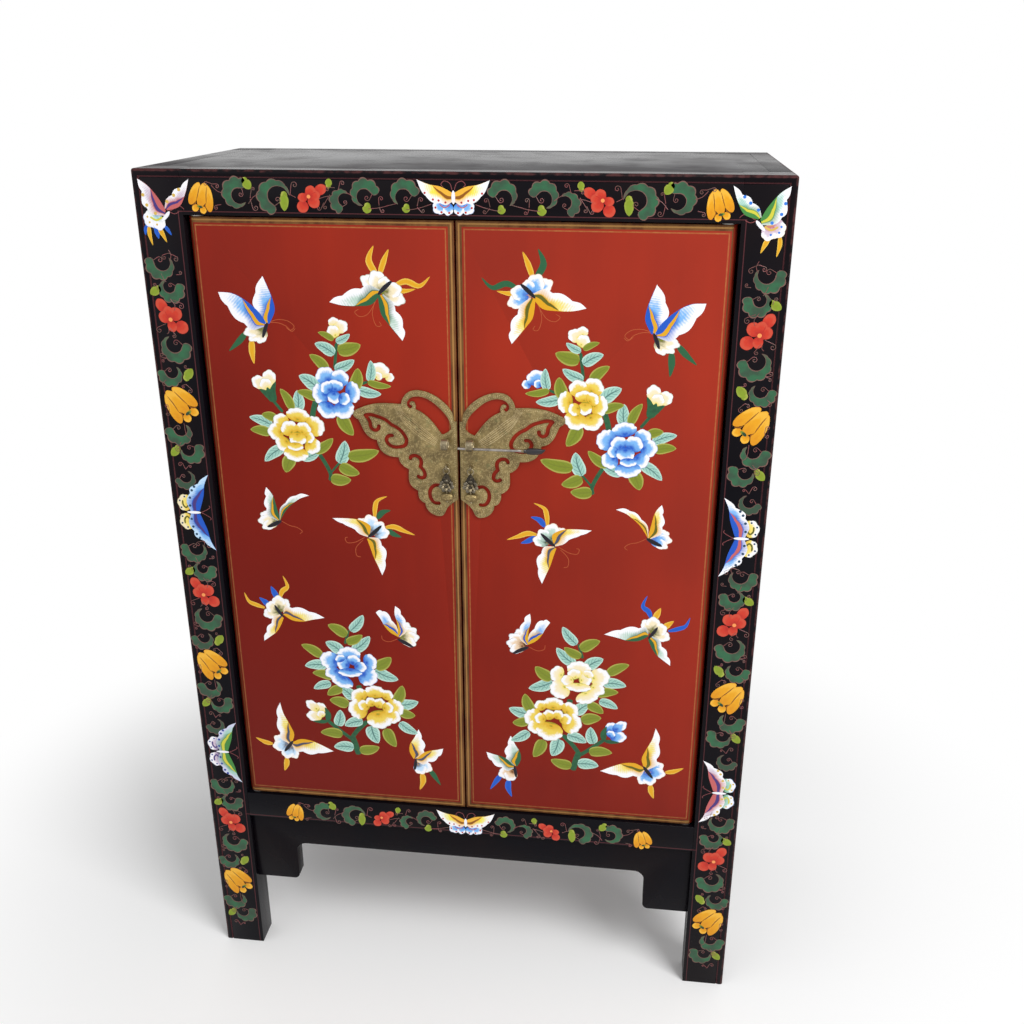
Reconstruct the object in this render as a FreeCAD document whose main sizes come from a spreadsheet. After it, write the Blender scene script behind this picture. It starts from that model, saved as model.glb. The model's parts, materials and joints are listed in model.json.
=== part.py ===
import FreeCAD, Part
import os

from FreeCAD import Placement, Rotation, Vector

# A lacquered two-door cabinet standing on its own corner posts, with an apron under each
# bottom rail, inset doors on hidden pivots and a butterfly lock plate with a sliding pin.
# Millimetres. In a sub-part's own frame x runs to the right from the cabinet's middle,
# y runs back from the front face of the frame, and z runs up from the floor. The placement
# of each sub-part then moves it back or forward as one, so that the origin of the whole
# lies under the middle of its bounding box.

SIZES = {
    # carcass
    "overall_width": 600.0,
    "overall_height": 906.0,
    "overall_depth": 283.5,      # front face of the frame to its back face
    "post_face": 46.0,           # seen from the front
    "post_side": 30.0,           # seen from the side
    "rail_deep": 30.0,
    "top_rail_tall": 41.0,
    "bottom_rail_tall": 32.0,
    "bottom_rail_base": 188.0,   # floor to underside of the bottom rails
    "tenon_thick": 10.0,
    "tenon_long": 15.0,
    "tenon_shoulder": 2.0,       # wood left between a tenon and a panel groove
    "edge_round": 2.5,
    "bead_wide": 6.5,            # outer edge to the scratched groove beside the bead
    "scratch_wide": 1.4,
    "scratch_deep": 0.8,
    # panels and shelf
    "board_thick": 10.0,         # top and floor
    "ledge_wide": 8.0,
    "panel_thick": 6.0,          # sides and back
    "panel_inset": 3.0,
    "panel_groove": 6.0,
    "shelf_height": 540.0,       # floor to underside of the shelf
    "shelf_thick": 14.0,
    "shelf_front": 45.0,
    "shelf_clearance": 0.3,
    "shelf_batten_tall": 20.0,
    "shelf_batten_thick": 16.0,
    # aprons
    "apron_thick": 18.0,
    "apron_setback": 5.0,
    "apron_tall": 38.0,
    "bracket_drop": 52.0,
    "bracket_wide": 51.5,
    "side_bracket_wide": 38.0,
    "arch_radius": 12.0,
    "bracket_radius": 6.0,
    # doors
    "door_thick": 18.0,
    "door_setback": 3.5,
    "door_gap": 1.5,
    "meeting_gap": 2.0,
    "door_batten_wide": 32.0,
    "door_batten_thick": 8.0,
    "door_batten_end": 25.0,     # from the pivot axis, and from the meeting edge
    "door_batten_inset": 90.0,   # from the door's top and bottom edge
    "stop_tall": 9.0,
    "stop_deep": 8.0,
    "stop_gap": 0.3,
    "stop_end": 30.0,            # from the posts
    # hidden pivots
    "pivot_radius": 4.0,
    "pivot_clearance": 0.05,
    "pivot_in_door": 25.0,
    "pivot_in_rail": 12.0,
    "bush_wall": 2.5,
    "bush_floor": 2.0,
    "collar_wall": 2.0,
    "collar_gap": 0.3,
    # butterfly plate, drawn about the lock line
    "lock_height": 650.0,
    "plate_thick": 2.0,
    "plate_lip": 0.5,            # door's meeting edge to the plate's
    "plate_reach": 102.2,        # plate's meeting edge to its wing tip
    "piercing_wide": 4.0,
    "nail_head": 1.7,
    "nail_dome": 0.9,
    "nail_shank": 0.7,
    "nail_long": 8.0,
    # lock staples and sliding pin
    "staple_apart": 24.4,
    "staple_wide": 7.0,
    "staple_radius": 5.5,
    "staple_strap": 1.0,
    "staple_stand": 8.0,         # plate face to the middle of the loop
    "staple_rise": 3.3,          # lock line to the middle of the loop
    "staple_in_door": 12.0,
    "lock_pin_radius": 1.25,
    "lock_pin_long": 72.5,
    "lock_pin_clearance": 0.05,
    "lock_pin_withdrawn": 0.5,   # right of the middle, where the tip rests when unlatched
    "handle_long": 21.0,
    "handle_radius": 3.3,
    "handle_socket": 8.0,
    "ferrule_long": 2.5,
    "ferrule_wall": 0.6,
    # hanging pulls
    "pull_apart": 24.0,
    "eye_drop": 21.4,            # lock line to the middle of the eye
    "eye_radius": 2.2,
    "eye_wire": 0.7,
    "eye_stand": 3.7,            # plate face to the middle of the eye
    "eye_in_door": 12.0,
    "pull_ring_radius": 3.0,
    "pull_wire": 0.7,
    "pull_play": 0.15,
    "stalk_radius": 1.0,
    "leaf_long": 7.0,
    "leaf_wide": 6.0,
    "leaf_thick": 1.6,
    "flower_drop": 16.0,         # swing axis to the middle of the flower
    "heart_radius": 3.2,
    "heart_thick": 6.0,
    "petal_ring": 5.2,           # middle of the flower to the middle of a petal
    "petal_radius": 2.8,
    "petal_thick": 4.4,
    "bead_drop": 30.5,           # swing axis to the middle of the bead
    "bead_radius": 6.6,
    "bead_half_height": 4.2,
    "bead_half_thick": 2.9,
    "bead_bore": 0.9,
}
PETALS = 6

doc = FreeCAD.newDocument("butterfly_cabinet")
sheet = doc.addObject("Spreadsheet::Sheet", "Sizes")
for row, (alias, value) in enumerate(SIZES.items(), start=1):
    sheet.set(f"A{row}", alias.replace("_", " "))
    sheet.set(f"B{row}", str(value))
    sheet.setAlias(f"B{row}", alias)
doc.recompute()


def size(alias):
    """A driving size, read from the sheet."""
    return float(sheet.get(alias))


# Planes that several sub-parts share, as expressions on the sheet.
SIDE = "Sizes.overall_width / 2"
TOP = "Sizes.overall_height"
BACK = "Sizes.overall_depth"
POST_IN = f"({SIDE} - Sizes.post_face)"
RAIL_IN = f"({SIDE} - Sizes.rail_deep)"
REAR_POST = f"({BACK} - Sizes.post_side)"
REAR_RAIL = f"({BACK} - Sizes.rail_deep)"
TOP_RAIL_LOW = f"({TOP} - Sizes.top_rail_tall)"
BOTTOM_RAIL_TOP = "(Sizes.bottom_rail_base + Sizes.bottom_rail_tall)"
PANEL_OUT = f"({SIDE} - Sizes.panel_inset)"
PANEL_IN = f"({PANEL_OUT} - Sizes.panel_thick)"
BACK_PANEL_IN = f"({BACK} - Sizes.panel_inset - Sizes.panel_thick)"
DOOR_FRONT = "Sizes.door_setback"
DOOR_BACK = "(Sizes.door_setback + Sizes.door_thick)"
DOOR_LOW = f"({BOTTOM_RAIL_TOP} + Sizes.door_gap)"
DOOR_HIGH = f"({TOP_RAIL_LOW} - Sizes.door_gap)"
PIVOT_X = f"({POST_IN} - Sizes.door_gap - Sizes.door_thick / 2)"
PIVOT_Y = "(Sizes.door_setback + Sizes.door_thick / 2)"
MEETING = "Sizes.meeting_gap / 2"
PLATE_FACE = "(Sizes.door_setback - Sizes.plate_thick)"
STAPLE_Y = f"({PLATE_FACE} - Sizes.staple_stand)"
STAPLE_REACH = "(Sizes.staple_stand + Sizes.staple_radius + Sizes.plate_thick - Sizes.door_setback)"
STAPLE_Z = "(Sizes.lock_height + Sizes.staple_rise)"
STAPLE_BORE = "(Sizes.staple_radius - Sizes.staple_strap)"
LOCK_PIN_Z = f"({STAPLE_Z} - {STAPLE_BORE} + Sizes.lock_pin_radius + Sizes.lock_pin_clearance)"
EYE_Y = f"({PLATE_FACE} - Sizes.eye_stand)"
EYE_Z = "(Sizes.lock_height - Sizes.eye_drop)"
SWING_Z = f"({EYE_Z} - Sizes.eye_radius + Sizes.eye_wire + Sizes.pull_wire + Sizes.pull_play)"

SIDES = {"left": -1, "right": 1}
TURN = {
    "x": Rotation(Vector(0, 1, 0), 90),
    "y": Rotation(Vector(1, 0, 0), -90),
    "z": Rotation(),
}
nodes = []


# ---------------------------------------------------------------- modelling helpers

def keep(feature, label):
    """Register a finished sub-part and centre it front to back under the whole."""
    feature.Label = label
    feature.setExpression("Placement.Base.y", f"-({BACK} - {STAPLE_REACH}) / 2")
    nodes.append(feature)
    return feature


def new_body(name):
    """An empty PartDesign body."""
    return doc.addObject("PartDesign::Body", name)


def block(body, action, name, x, y, z):
    """Add or cut a block that spans a low and a high expression along each axis."""
    feature = body.newObject(f"PartDesign::{action}Box", name)
    for length, axis, (low, high) in zip(("Length", "Width", "Height"), "xyz", (x, y, z)):
        feature.setExpression(length, f"({high}) - ({low})")
        feature.setExpression(f"Placement.Base.{axis}", low)
    return feature


def round_bar(body, action, name, axis, start, long, radius):
    """Add or cut a cylinder that starts at a point and runs along one axis."""
    feature = body.newObject(f"PartDesign::{action}Cylinder", name)
    feature.Placement = Placement(Vector(), TURN[axis])
    feature.setExpression("Radius", radius)
    feature.setExpression("Height", long)
    for letter, value in zip("xyz", start):
        feature.setExpression(f"Placement.Base.{letter}", value)
    return feature


def solid_of(body, kind, name, axis, centre, **dims):
    """Add a ball-like or ring-like primitive about a centre, its own axis along one axis."""
    feature = body.newObject(f"PartDesign::Additive{kind}", name)
    feature.Placement = Placement(Vector(), TURN[axis])
    for prop, value in dims.items():
        feature.setExpression(prop, value)
    for letter, value in zip("xyz", centre):
        feature.setExpression(f"Placement.Base.{letter}", value)
    return feature


def mirrored_span(side, inner, outer):
    """The span from an inner to an outer distance on one side of the middle, low end first."""
    if side > 0:
        return inner, outer
    return f"-({outer})", f"-({inner})"


def on_side(side, distance):
    """A signed distance from the middle."""
    return distance if side > 0 else f"-({distance})"


def edges_along(shape, direction, test):
    """Names of the straight edges that run along a direction and whose middles pass a test."""
    names = []
    for number, edge in enumerate(shape.Edges, start=1):
        if edge.Curve.TypeId != "Part::GeomLine":
            continue
        if edge.Curve.Direction.cross(direction).Length < 1e-6 and test(edge.CenterOfMass):
            names.append(f"Edge{number}")
    return names


def soften(body, name, base, edges, radius):
    """Round a list of edges of a body's last feature."""
    fillet = body.newObject("PartDesign::Fillet", name)
    fillet.Base = (base, edges)
    fillet.setExpression("Radius", radius)
    return fillet


def near(value, target):
    """True where two lengths are the same to a hundredth of a millimetre."""
    return abs(value - target) < 0.01


# ---------------------------------------------------------------- carcass

GROOVE_LOW = f"({BOTTOM_RAIL_TOP} - Sizes.panel_groove)"
GROOVE_HIGH = f"({TOP_RAIL_LOW} + Sizes.panel_groove)"
TOP_TENON = (
    f"{GROOVE_HIGH} + Sizes.tenon_shoulder",
    f"{TOP} - Sizes.board_thick - Sizes.tenon_shoulder",
)
BOTTOM_TENON = (
    "Sizes.bottom_rail_base + Sizes.tenon_shoulder",
    f"{GROOVE_LOW} - Sizes.tenon_shoulder",
)
FRONT_TENON_Y = (
    "(Sizes.rail_deep - Sizes.tenon_thick) / 2",
    "(Sizes.rail_deep + Sizes.tenon_thick) / 2",
)
SIDE_TENON_X = (
    f"{SIDE} - (Sizes.rail_deep + Sizes.tenon_thick) / 2",
    f"{SIDE} - (Sizes.rail_deep - Sizes.tenon_thick) / 2",
)
SCRATCH_X = (f"{SIDE} - Sizes.bead_wide - Sizes.scratch_wide", f"{SIDE} - Sizes.bead_wide")
SCRATCH_Z = (f"{TOP} - Sizes.bead_wide - Sizes.scratch_wide", f"{TOP} - Sizes.bead_wide")


def from_end(end, near_low, near_high):
    """A span measured from the front face, or the same span measured from the back face."""
    if end == "front":
        return near_low, near_high
    return f"{BACK} - ({near_high})", f"{BACK} - ({near_low})"


def make_post(end, hand):
    """A corner post with its mortises, panel grooves, scratched bead and softened edges."""
    side = SIDES[hand]
    body = new_body(f"{end}_{hand}_post")
    block(body, "Additive", "stock", mirrored_span(side, POST_IN, SIDE),
          from_end(end, "0", "Sizes.post_side"), ("0", TOP))
    for level, tenon in (("top", TOP_TENON), ("bottom", BOTTOM_TENON)):
        block(body, "Subtractive", f"{level}_mortise_across",
              mirrored_span(side, POST_IN, f"{POST_IN} + Sizes.tenon_long"),
              from_end(end, *FRONT_TENON_Y), tenon)
        block(body, "Subtractive", f"{level}_mortise_back", mirrored_span(side, *SIDE_TENON_X),
              from_end(end, "Sizes.post_side - Sizes.tenon_long", "Sizes.post_side"), tenon)
    block(body, "Subtractive", "side_panel_groove", mirrored_span(side, PANEL_IN, PANEL_OUT),
          from_end(end, "Sizes.post_side - Sizes.panel_groove", "Sizes.post_side"),
          (GROOVE_LOW, GROOVE_HIGH))
    if end == "rear":
        last = block(body, "Subtractive", "back_panel_groove",
                     mirrored_span(side, POST_IN, f"{POST_IN} + Sizes.panel_groove"),
                     (BACK_PANEL_IN, f"{BACK} - Sizes.panel_inset"), (GROOVE_LOW, GROOVE_HIGH))
    else:
        block(body, "Subtractive", "upright_scratch", mirrored_span(side, *SCRATCH_X),
              ("0", "Sizes.scratch_deep"), ("0", SCRATCH_Z[1]))
        last = block(body, "Subtractive", "level_scratch",
                     mirrored_span(side, POST_IN, SCRATCH_X[1]),
                     ("0", "Sizes.scratch_deep"), SCRATCH_Z)
    doc.recompute()
    outer_x = side * size("overall_width") / 2
    outer_y = 0.0 if end == "front" else size("overall_depth")
    top = size("overall_height")
    edges = edges_along(last.Shape, Vector(0, 0, 1),
                        lambda p: near(p.x, outer_x) and near(p.y, outer_y))
    edges += edges_along(last.Shape, Vector(1, 0, 0),
                         lambda p: near(p.z, top) and near(p.y, outer_y))
    edges += edges_along(last.Shape, Vector(0, 1, 0),
                         lambda p: near(p.z, top) and near(p.x, outer_x))
    soften(body, "worn_edges", last, edges, "Sizes.edge_round")
    return keep(body, f"{end}_{hand}_post")


def board_ledge(level):
    """The height span of the board that lies in the rails at the top or the bottom."""
    surface = TOP if level == "top" else BOTTOM_RAIL_TOP
    return f"{surface} - Sizes.board_thick", surface


def rail_heights(level):
    """The height span of the top or the bottom rails."""
    if level == "top":
        return TOP_RAIL_LOW, TOP
    return "Sizes.bottom_rail_base", BOTTOM_RAIL_TOP


def panel_groove_heights(level):
    """The height span of the groove that holds a panel in a rail."""
    if level == "top":
        return TOP_RAIL_LOW, GROOVE_HIGH
    return GROOVE_LOW, BOTTOM_RAIL_TOP


def bore_pivot_seats(body, level):
    """Cut the seats of the two pivot bushes into a front rail."""
    deep = "(Sizes.pivot_in_rail + Sizes.bush_floor)"
    start = TOP_RAIL_LOW if level == "top" else f"{BOTTOM_RAIL_TOP} - {deep}"
    for hand, side in SIDES.items():
        round_bar(body, "Subtractive", f"{hand}_bush_seat", "z",
                  (on_side(side, PIVOT_X), PIVOT_Y, start), deep,
                  "Sizes.pivot_radius + Sizes.pivot_clearance + Sizes.bush_wall")


def make_long_rail(level, end):
    """A front or rear rail, tenoned into the posts, with its ledge for the board."""
    body = new_body(f"{level}_{end}_rail")
    heights = rail_heights(level)
    tenon = TOP_TENON if level == "top" else BOTTOM_TENON
    block(body, "Additive", "stock", (f"-{POST_IN}", POST_IN),
          from_end(end, "0", "Sizes.rail_deep"), heights)
    block(body, "Additive", "tenons",
          (f"-({POST_IN} + Sizes.tenon_long)", f"{POST_IN} + Sizes.tenon_long"),
          from_end(end, *FRONT_TENON_Y), tenon)
    last = block(body, "Subtractive", "ledge", (f"-{POST_IN}", POST_IN),
                 from_end(end, "Sizes.rail_deep - Sizes.ledge_wide", "Sizes.rail_deep"),
                 board_ledge(level))
    if end == "rear":
        last = block(body, "Subtractive", "back_panel_groove", (f"-{POST_IN}", POST_IN),
                     (BACK_PANEL_IN, f"{BACK} - Sizes.panel_inset"),
                     panel_groove_heights(level))
    else:
        bore_pivot_seats(body, level)
        if level == "top":
            last = block(body, "Subtractive", "scratch", (f"-{POST_IN}", POST_IN),
                         ("0", "Sizes.scratch_deep"), SCRATCH_Z)
    doc.recompute()
    if level == "top":
        outer_y = 0.0 if end == "front" else size("overall_depth")
        edges = edges_along(last.Shape, Vector(1, 0, 0), lambda p: near(p.y, outer_y)
                            and near(p.z, size("overall_height")))
        soften(body, "worn_edge", last, edges, "Sizes.edge_round")
    return keep(body, f"{level}_{end}_rail")


def make_side_rail(level, hand):
    """A side rail, tenoned into the front and rear posts."""
    side = SIDES[hand]
    body = new_body(f"{level}_{hand}_rail")
    tenon = TOP_TENON if level == "top" else BOTTOM_TENON
    block(body, "Additive", "stock", mirrored_span(side, RAIL_IN, SIDE),
          ("Sizes.post_side", REAR_POST), rail_heights(level))
    block(body, "Additive", "tenons", mirrored_span(side, *SIDE_TENON_X),
          ("Sizes.post_side - Sizes.tenon_long", f"{REAR_POST} + Sizes.tenon_long"), tenon)
    block(body, "Subtractive", "ledge",
          mirrored_span(side, RAIL_IN, f"{RAIL_IN} + Sizes.ledge_wide"),
          ("Sizes.post_side", REAR_POST), board_ledge(level))
    last = block(body, "Subtractive", "side_panel_groove",
                 mirrored_span(side, PANEL_IN, PANEL_OUT),
                 ("Sizes.post_side", REAR_POST), panel_groove_heights(level))
    doc.recompute()
    if level == "top":
        outer_x = side * size("overall_width") / 2
        edges = edges_along(last.Shape, Vector(0, 1, 0), lambda p: near(p.x, outer_x)
                            and near(p.z, size("overall_height")))
        soften(body, "worn_edge", last, edges, "Sizes.edge_round")
    return keep(body, f"{level}_{hand}_rail")


def cut_post_corners(body, ends, heights):
    """Notch a board or a shelf around the posts at the named ends."""
    for end in ends:
        for hand, side in SIDES.items():
            block(body, "Subtractive", f"{end}_{hand}_notch", mirrored_span(side, POST_IN, SIDE),
                  from_end(end, "0", "Sizes.post_side"), heights)


def make_board(level, label):
    """The top or the floor board, lying on the ledges of its four rails."""
    body = new_body(label)
    reach = f"({RAIL_IN} + Sizes.ledge_wide)"
    block(body, "Additive", "stock", (f"-{reach}", reach),
          ("Sizes.rail_deep - Sizes.ledge_wide", f"{REAR_RAIL} + Sizes.ledge_wide"),
          board_ledge(level))
    cut_post_corners(body, ("front", "rear"), board_ledge(level))
    return keep(body, label)


def make_panels():
    """The side panels and the back panel, held in the grooves of posts and rails."""
    for hand, side in SIDES.items():
        body = new_body(f"{hand}_side_panel")
        block(body, "Additive", "stock", mirrored_span(side, PANEL_IN, PANEL_OUT),
              ("Sizes.post_side - Sizes.panel_groove", f"{REAR_POST} + Sizes.panel_groove"),
              (GROOVE_LOW, GROOVE_HIGH))
        keep(body, f"{hand}_side_panel")
    body = new_body("back_panel")
    reach = f"({POST_IN} + Sizes.panel_groove)"
    block(body, "Additive", "stock", (f"-{reach}", reach),
          (BACK_PANEL_IN, f"{BACK} - Sizes.panel_inset"), (GROOVE_LOW, GROOVE_HIGH))
    keep(body, "back_panel")


def make_shelf():
    """One loose shelf on a batten along each side panel."""
    heights = ("Sizes.shelf_height", "Sizes.shelf_height + Sizes.shelf_thick")
    body = new_body("shelf")
    reach = f"({PANEL_IN} - Sizes.shelf_clearance)"
    block(body, "Additive", "stock", (f"-{reach}", reach),
          ("Sizes.shelf_front", f"{BACK_PANEL_IN} - Sizes.shelf_clearance"), heights)
    cut_post_corners(body, ("rear",), heights)
    keep(body, "shelf")
    for hand, side in SIDES.items():
        body = new_body(f"{hand}_shelf_batten")
        block(body, "Additive", "stock",
              mirrored_span(side, f"{PANEL_IN} - Sizes.shelf_batten_thick", PANEL_IN),
              ("Sizes.post_side", REAR_POST),
              ("Sizes.shelf_height - Sizes.shelf_batten_tall", "Sizes.shelf_height"))
        keep(body, f"{hand}_shelf_batten")


def round_apron(body, last, direction, coordinate, half_gap, middle):
    """Round the inner corners of an apron's arch and the tips of its brackets."""
    arch_z = size("bottom_rail_base") - size("apron_tall")
    tip_z = arch_z - size("bracket_drop")

    def at(level):
        """A test for the two edges beside the arch at one height."""
        return lambda p: (near(p.z, level)
                          and near(abs(getattr(p, coordinate) - middle), half_gap))

    arch = soften(body, "arch_corners", last, edges_along(last.Shape, direction, at(arch_z)),
                  "Sizes.arch_radius")
    doc.recompute()
    soften(body, "bracket_tips", arch, edges_along(arch.Shape, direction, at(tip_z)),
           "Sizes.bracket_radius")


def make_long_apron(end):
    """The apron under the front or rear rail, dropping to a bracket beside each post."""
    body = new_body(f"{end}_apron")
    low = "(Sizes.bottom_rail_base - Sizes.apron_tall - Sizes.bracket_drop)"
    arch = "(Sizes.bottom_rail_base - Sizes.apron_tall)"
    gap = f"({POST_IN} - Sizes.bracket_wide)"
    depth = from_end(end, "Sizes.apron_setback", "Sizes.apron_setback + Sizes.apron_thick")
    block(body, "Additive", "stock", (f"-{POST_IN}", POST_IN), depth,
          (low, "Sizes.bottom_rail_base"))
    last = block(body, "Subtractive", "arch", (f"-{gap}", gap), depth, (low, arch))
    doc.recompute()
    half_gap = size("overall_width") / 2 - size("post_face") - size("bracket_wide")
    round_apron(body, last, Vector(0, 1, 0), "x", half_gap, 0.0)
    return keep(body, f"{end}_apron")


def make_side_apron(hand):
    """The apron under a side rail."""
    side = SIDES[hand]
    body = new_body(f"{hand}_apron")
    low = "(Sizes.bottom_rail_base - Sizes.apron_tall - Sizes.bracket_drop)"
    arch = "(Sizes.bottom_rail_base - Sizes.apron_tall)"
    across = mirrored_span(side, f"{SIDE} - Sizes.apron_setback - Sizes.apron_thick",
                           f"{SIDE} - Sizes.apron_setback")
    block(body, "Additive", "stock", across, ("Sizes.post_side", REAR_POST),
          (low, "Sizes.bottom_rail_base"))
    last = block(body, "Subtractive", "arch", across,
                 ("Sizes.post_side + Sizes.side_bracket_wide",
                  f"{REAR_POST} - Sizes.side_bracket_wide"), (low, arch))
    doc.recompute()
    half_gap = size("overall_depth") / 2 - size("post_side") - size("side_bracket_wide")
    round_apron(body, last, Vector(1, 0, 0), "y", half_gap, size("overall_depth") / 2)
    return keep(body, f"{hand}_apron")


def make_door_stops():
    """The strips behind the doors' top and bottom edges that they close against."""
    reach = f"({POST_IN} - Sizes.stop_end)"
    for level, heights in (("top", (f"{TOP_RAIL_LOW} - Sizes.stop_tall", TOP_RAIL_LOW)),
                           ("bottom", (BOTTOM_RAIL_TOP, f"{BOTTOM_RAIL_TOP} + Sizes.stop_tall"))):
        body = new_body(f"{level}_door_stop")
        start = f"({DOOR_BACK} + Sizes.stop_gap)"
        block(body, "Additive", "stock", (f"-{reach}", reach),
              (start, f"{start} + Sizes.stop_deep"), heights)
        keep(body, f"{level}_door_stop")


def make_bush(level, hand):
    """A blind pivot bush in a front rail, with the collar that the door turns on."""
    side = SIDES[hand]
    body = new_body(f"{level}_{hand}_bush")
    outer = "Sizes.pivot_radius + Sizes.pivot_clearance + Sizes.bush_wall"
    collar = "(Sizes.door_gap - Sizes.collar_gap)"
    deep = "(Sizes.pivot_in_rail + Sizes.bush_floor)"
    across = on_side(side, PIVOT_X)
    if level == "top":
        seat, rim, bore = TOP_RAIL_LOW, f"{TOP_RAIL_LOW} - {collar}", f"{TOP_RAIL_LOW} - {collar}"
    else:
        seat, rim = f"{BOTTOM_RAIL_TOP} - {deep}", BOTTOM_RAIL_TOP
        bore = f"{BOTTOM_RAIL_TOP} - Sizes.pivot_in_rail"
    round_bar(body, "Additive", "barrel", "z", (across, PIVOT_Y, seat), deep, outer)
    round_bar(body, "Additive", "collar", "z", (across, PIVOT_Y, rim), collar,
              f"{outer} + Sizes.collar_wall")
    round_bar(body, "Subtractive", "bore", "z", (across, PIVOT_Y, bore),
              f"Sizes.pivot_in_rail + {collar}", "Sizes.pivot_radius + Sizes.pivot_clearance")
    return body


def group(name, members):
    """Several separate solids of one kind as one sub-part."""
    compound = doc.addObject("Part::Compound", name)
    compound.Links = members
    return keep(compound, name)


# ---------------------------------------------------------------- butterfly plate

# Half of the plate, as distances from the cabinet's middle and from the lock line, drawn for
# a plate that starts 1.5 from the middle and reaches 102.2 further. Each run is a smooth
# curve, and runs meet at a corner.
DRAWN_REACH = 102.2
MEETING_SIDE = 1.5
PLATE_OUTLINE = [
    [(MEETING_SIDE, -56.0), (MEETING_SIDE, 24.5)],
    [(MEETING_SIDE, 24.5), (4.6, 24.0)],
    [(4.6, 24.0), (5.6, 32.6), (11.3, 41.0), (19.7, 48.0), (29.6, 52.8), (39.5, 54.5),
     (48.0, 52.4), (52.9, 47.4), (55.5, 40.0)],
    [(55.5, 40.0), (73.3, 40.4), (84.6, 39.0), (94.5, 35.7), (101.5, 32.6)],
    [(101.5, 32.6), (103.7, 28.4), (98.7, 23.5)],
    [(98.7, 23.5), (95.9, 17.0), (92.4, 10.0), (87.4, 5.0), (81.0, 3.0)],
    [(81.0, 3.0), (79.7, -3.3), (74.7, -10.4), (67.7, -13.5), (60.0, -14.0)],
    [(60.0, -14.0), (57.8, -20.3), (54.3, -23.8), (50.0, -26.0)],
    [(50.0, -26.0), (50.5, -34.4), (49.4, -41.4), (45.1, -46.4), (41.3, -48.5)],
    [(41.3, -48.5), (41.3, -54.1), (38.8, -59.1), (34.5, -61.2)],
    [(34.5, -61.2), (33.1, -67.5), (28.2, -72.5), (19.7, -74.9)],
    [(19.7, -74.9), (15.5, -72.0), (12.7, -66.0), (9.2, -62.0), (MEETING_SIDE, -56.0)],
]
FEELER_GAP = [
    [(7.0, 17.0), (10.6, 29.0), (18.3, 38.0), (28.2, 45.6), (39.5, 48.6), (46.2, 46.7),
     (49.6, 42.5), (49.4, 38.3), (46.4, 36.2), (44.6, 38.2), (46.4, 40.0)],
    [(46.4, 40.0), (46.6, 42.4), (43.9, 43.2), (41.8, 41.0), (42.3, 35.6)],
    [(42.3, 35.6), (33.8, 31.2), (26.8, 24.9), (19.7, 15.7), (16.2, 10.8)],
    [(16.2, 10.8), (11.3, 12.9), (7.0, 17.0)],
]
PIERCINGS = {
    "upper_curl": [(78.6, 17.2), (79.4, 14.2), (82.0, 12.8), (85.2, 13.9), (86.9, 17.0),
                   (87.3, 20.6), (89.0, 24.2), (91.6, 27.6)],
    "wing_scroll": [(91.6, 27.6), (85.5, 28.4), (80.0, 27.0), (75.0, 25.3), (70.0, 22.6),
                    (66.0, 19.2), (61.5, 16.8), (57.2, 13.6), (53.4, 8.6), (51.5, 3.2),
                    (53.2, -1.5), (58.2, -3.4), (64.0, -3.8), (69.4, -1.2), (71.6, 3.4),
                    (69.6, 7.2), (65.8, 8.0)],
    "lower_curl": [(48.4, -15.0), (47.0, -12.6), (43.7, -11.9), (40.0, -13.2), (37.7, -17.0),
                   (37.8, -20.8), (38.6, -23.4)],
    "lower_hook": [(38.6, -23.4), (36.0, -26.2), (34.3, -30.2), (34.9, -33.8), (37.8, -34.9),
                   (40.8, -33.6)],
    "foot_scroll": [(19.0, -42.8), (25.4, -42.6), (29.3, -47.6), (29.6, -54.0), (26.6, -59.8),
                    (21.0, -61.0)],
}
NAIL_SPOTS = [(97.3, 31.0), (21.0, -68.0)]
SLOT_STEPS = 4      # construction points on the side of a piercing for each point of its line


def plate_point(side, point):
    """A point of the plate in a front sketch, scaled to the plate's reach."""
    scale = size("plate_reach") / DRAWN_REACH
    start = size("meeting_gap") / 2 + size("plate_lip")
    return Vector(side * (start + (point[0] - MEETING_SIDE) * scale),
                  size("lock_height") + point[1] * scale, 0)


def smooth(points):
    """A curve through points, or a straight edge where there are only two."""
    if len(points) == 2:
        return Part.LineSegment(*points)
    curve = Part.BSplineCurve()
    curve.interpolate(points)
    return curve


def slot_curves(points, half):
    """The closed outline of a round-ended slot of a half width about a smooth line."""
    middle = smooth(points)
    first, last = middle.FirstParameter, middle.LastParameter
    steps = SLOT_STEPS * (len(points) - 1)
    parameters = [first + (last - first) * step / steps for step in range(steps + 1)]
    spots = [middle.value(parameter) for parameter in parameters]
    ways = [Vector(*middle.tangent(parameter)[0]).normalize() for parameter in parameters]
    across = [Vector(-way.y, way.x, 0) * half for way in ways]
    left = [spot + offset for spot, offset in zip(spots, across)]
    right = [spot - offset for spot, offset in zip(spots, across)]
    return [
        smooth(left),
        Part.Arc(left[-1], spots[-1] + ways[-1] * half, right[-1]),
        smooth(right[::-1]),
        Part.Arc(right[0], spots[0] - ways[0] * half, left[0]),
    ]


def front_sketch(body, name, curves, depth=DOOR_FRONT):
    """A sketch of closed runs of curves on an upright plane at a depth behind the front."""
    sketch = body.newObject("Sketcher::SketchObject", name)
    plane = next(f for f in body.Origin.OriginFeatures if f.Role == "XZ_Plane")
    sketch.AttachmentSupport = [(plane, "")]
    sketch.MapMode = "FlatFace"
    sketch.setExpression("AttachmentOffset.Base.z", f"-({depth})")
    for curve in curves:
        sketch.addGeometry(curve, False)
    doc.recompute()
    return sketch


def pierce(body, sketch, name):
    """Cut a sketch's outline through the plate."""
    before = body.Shape.Volume
    pocket = body.newObject("PartDesign::Pocket", name)
    pocket.Profile = sketch
    pocket.Reversed = True
    pocket.setExpression("Length", "Sizes.plate_thick")
    doc.recompute()
    if not body.Shape.Volume < before - 1.0:
        raise RuntimeError(f"{name} cuts nothing")
    return pocket


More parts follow.
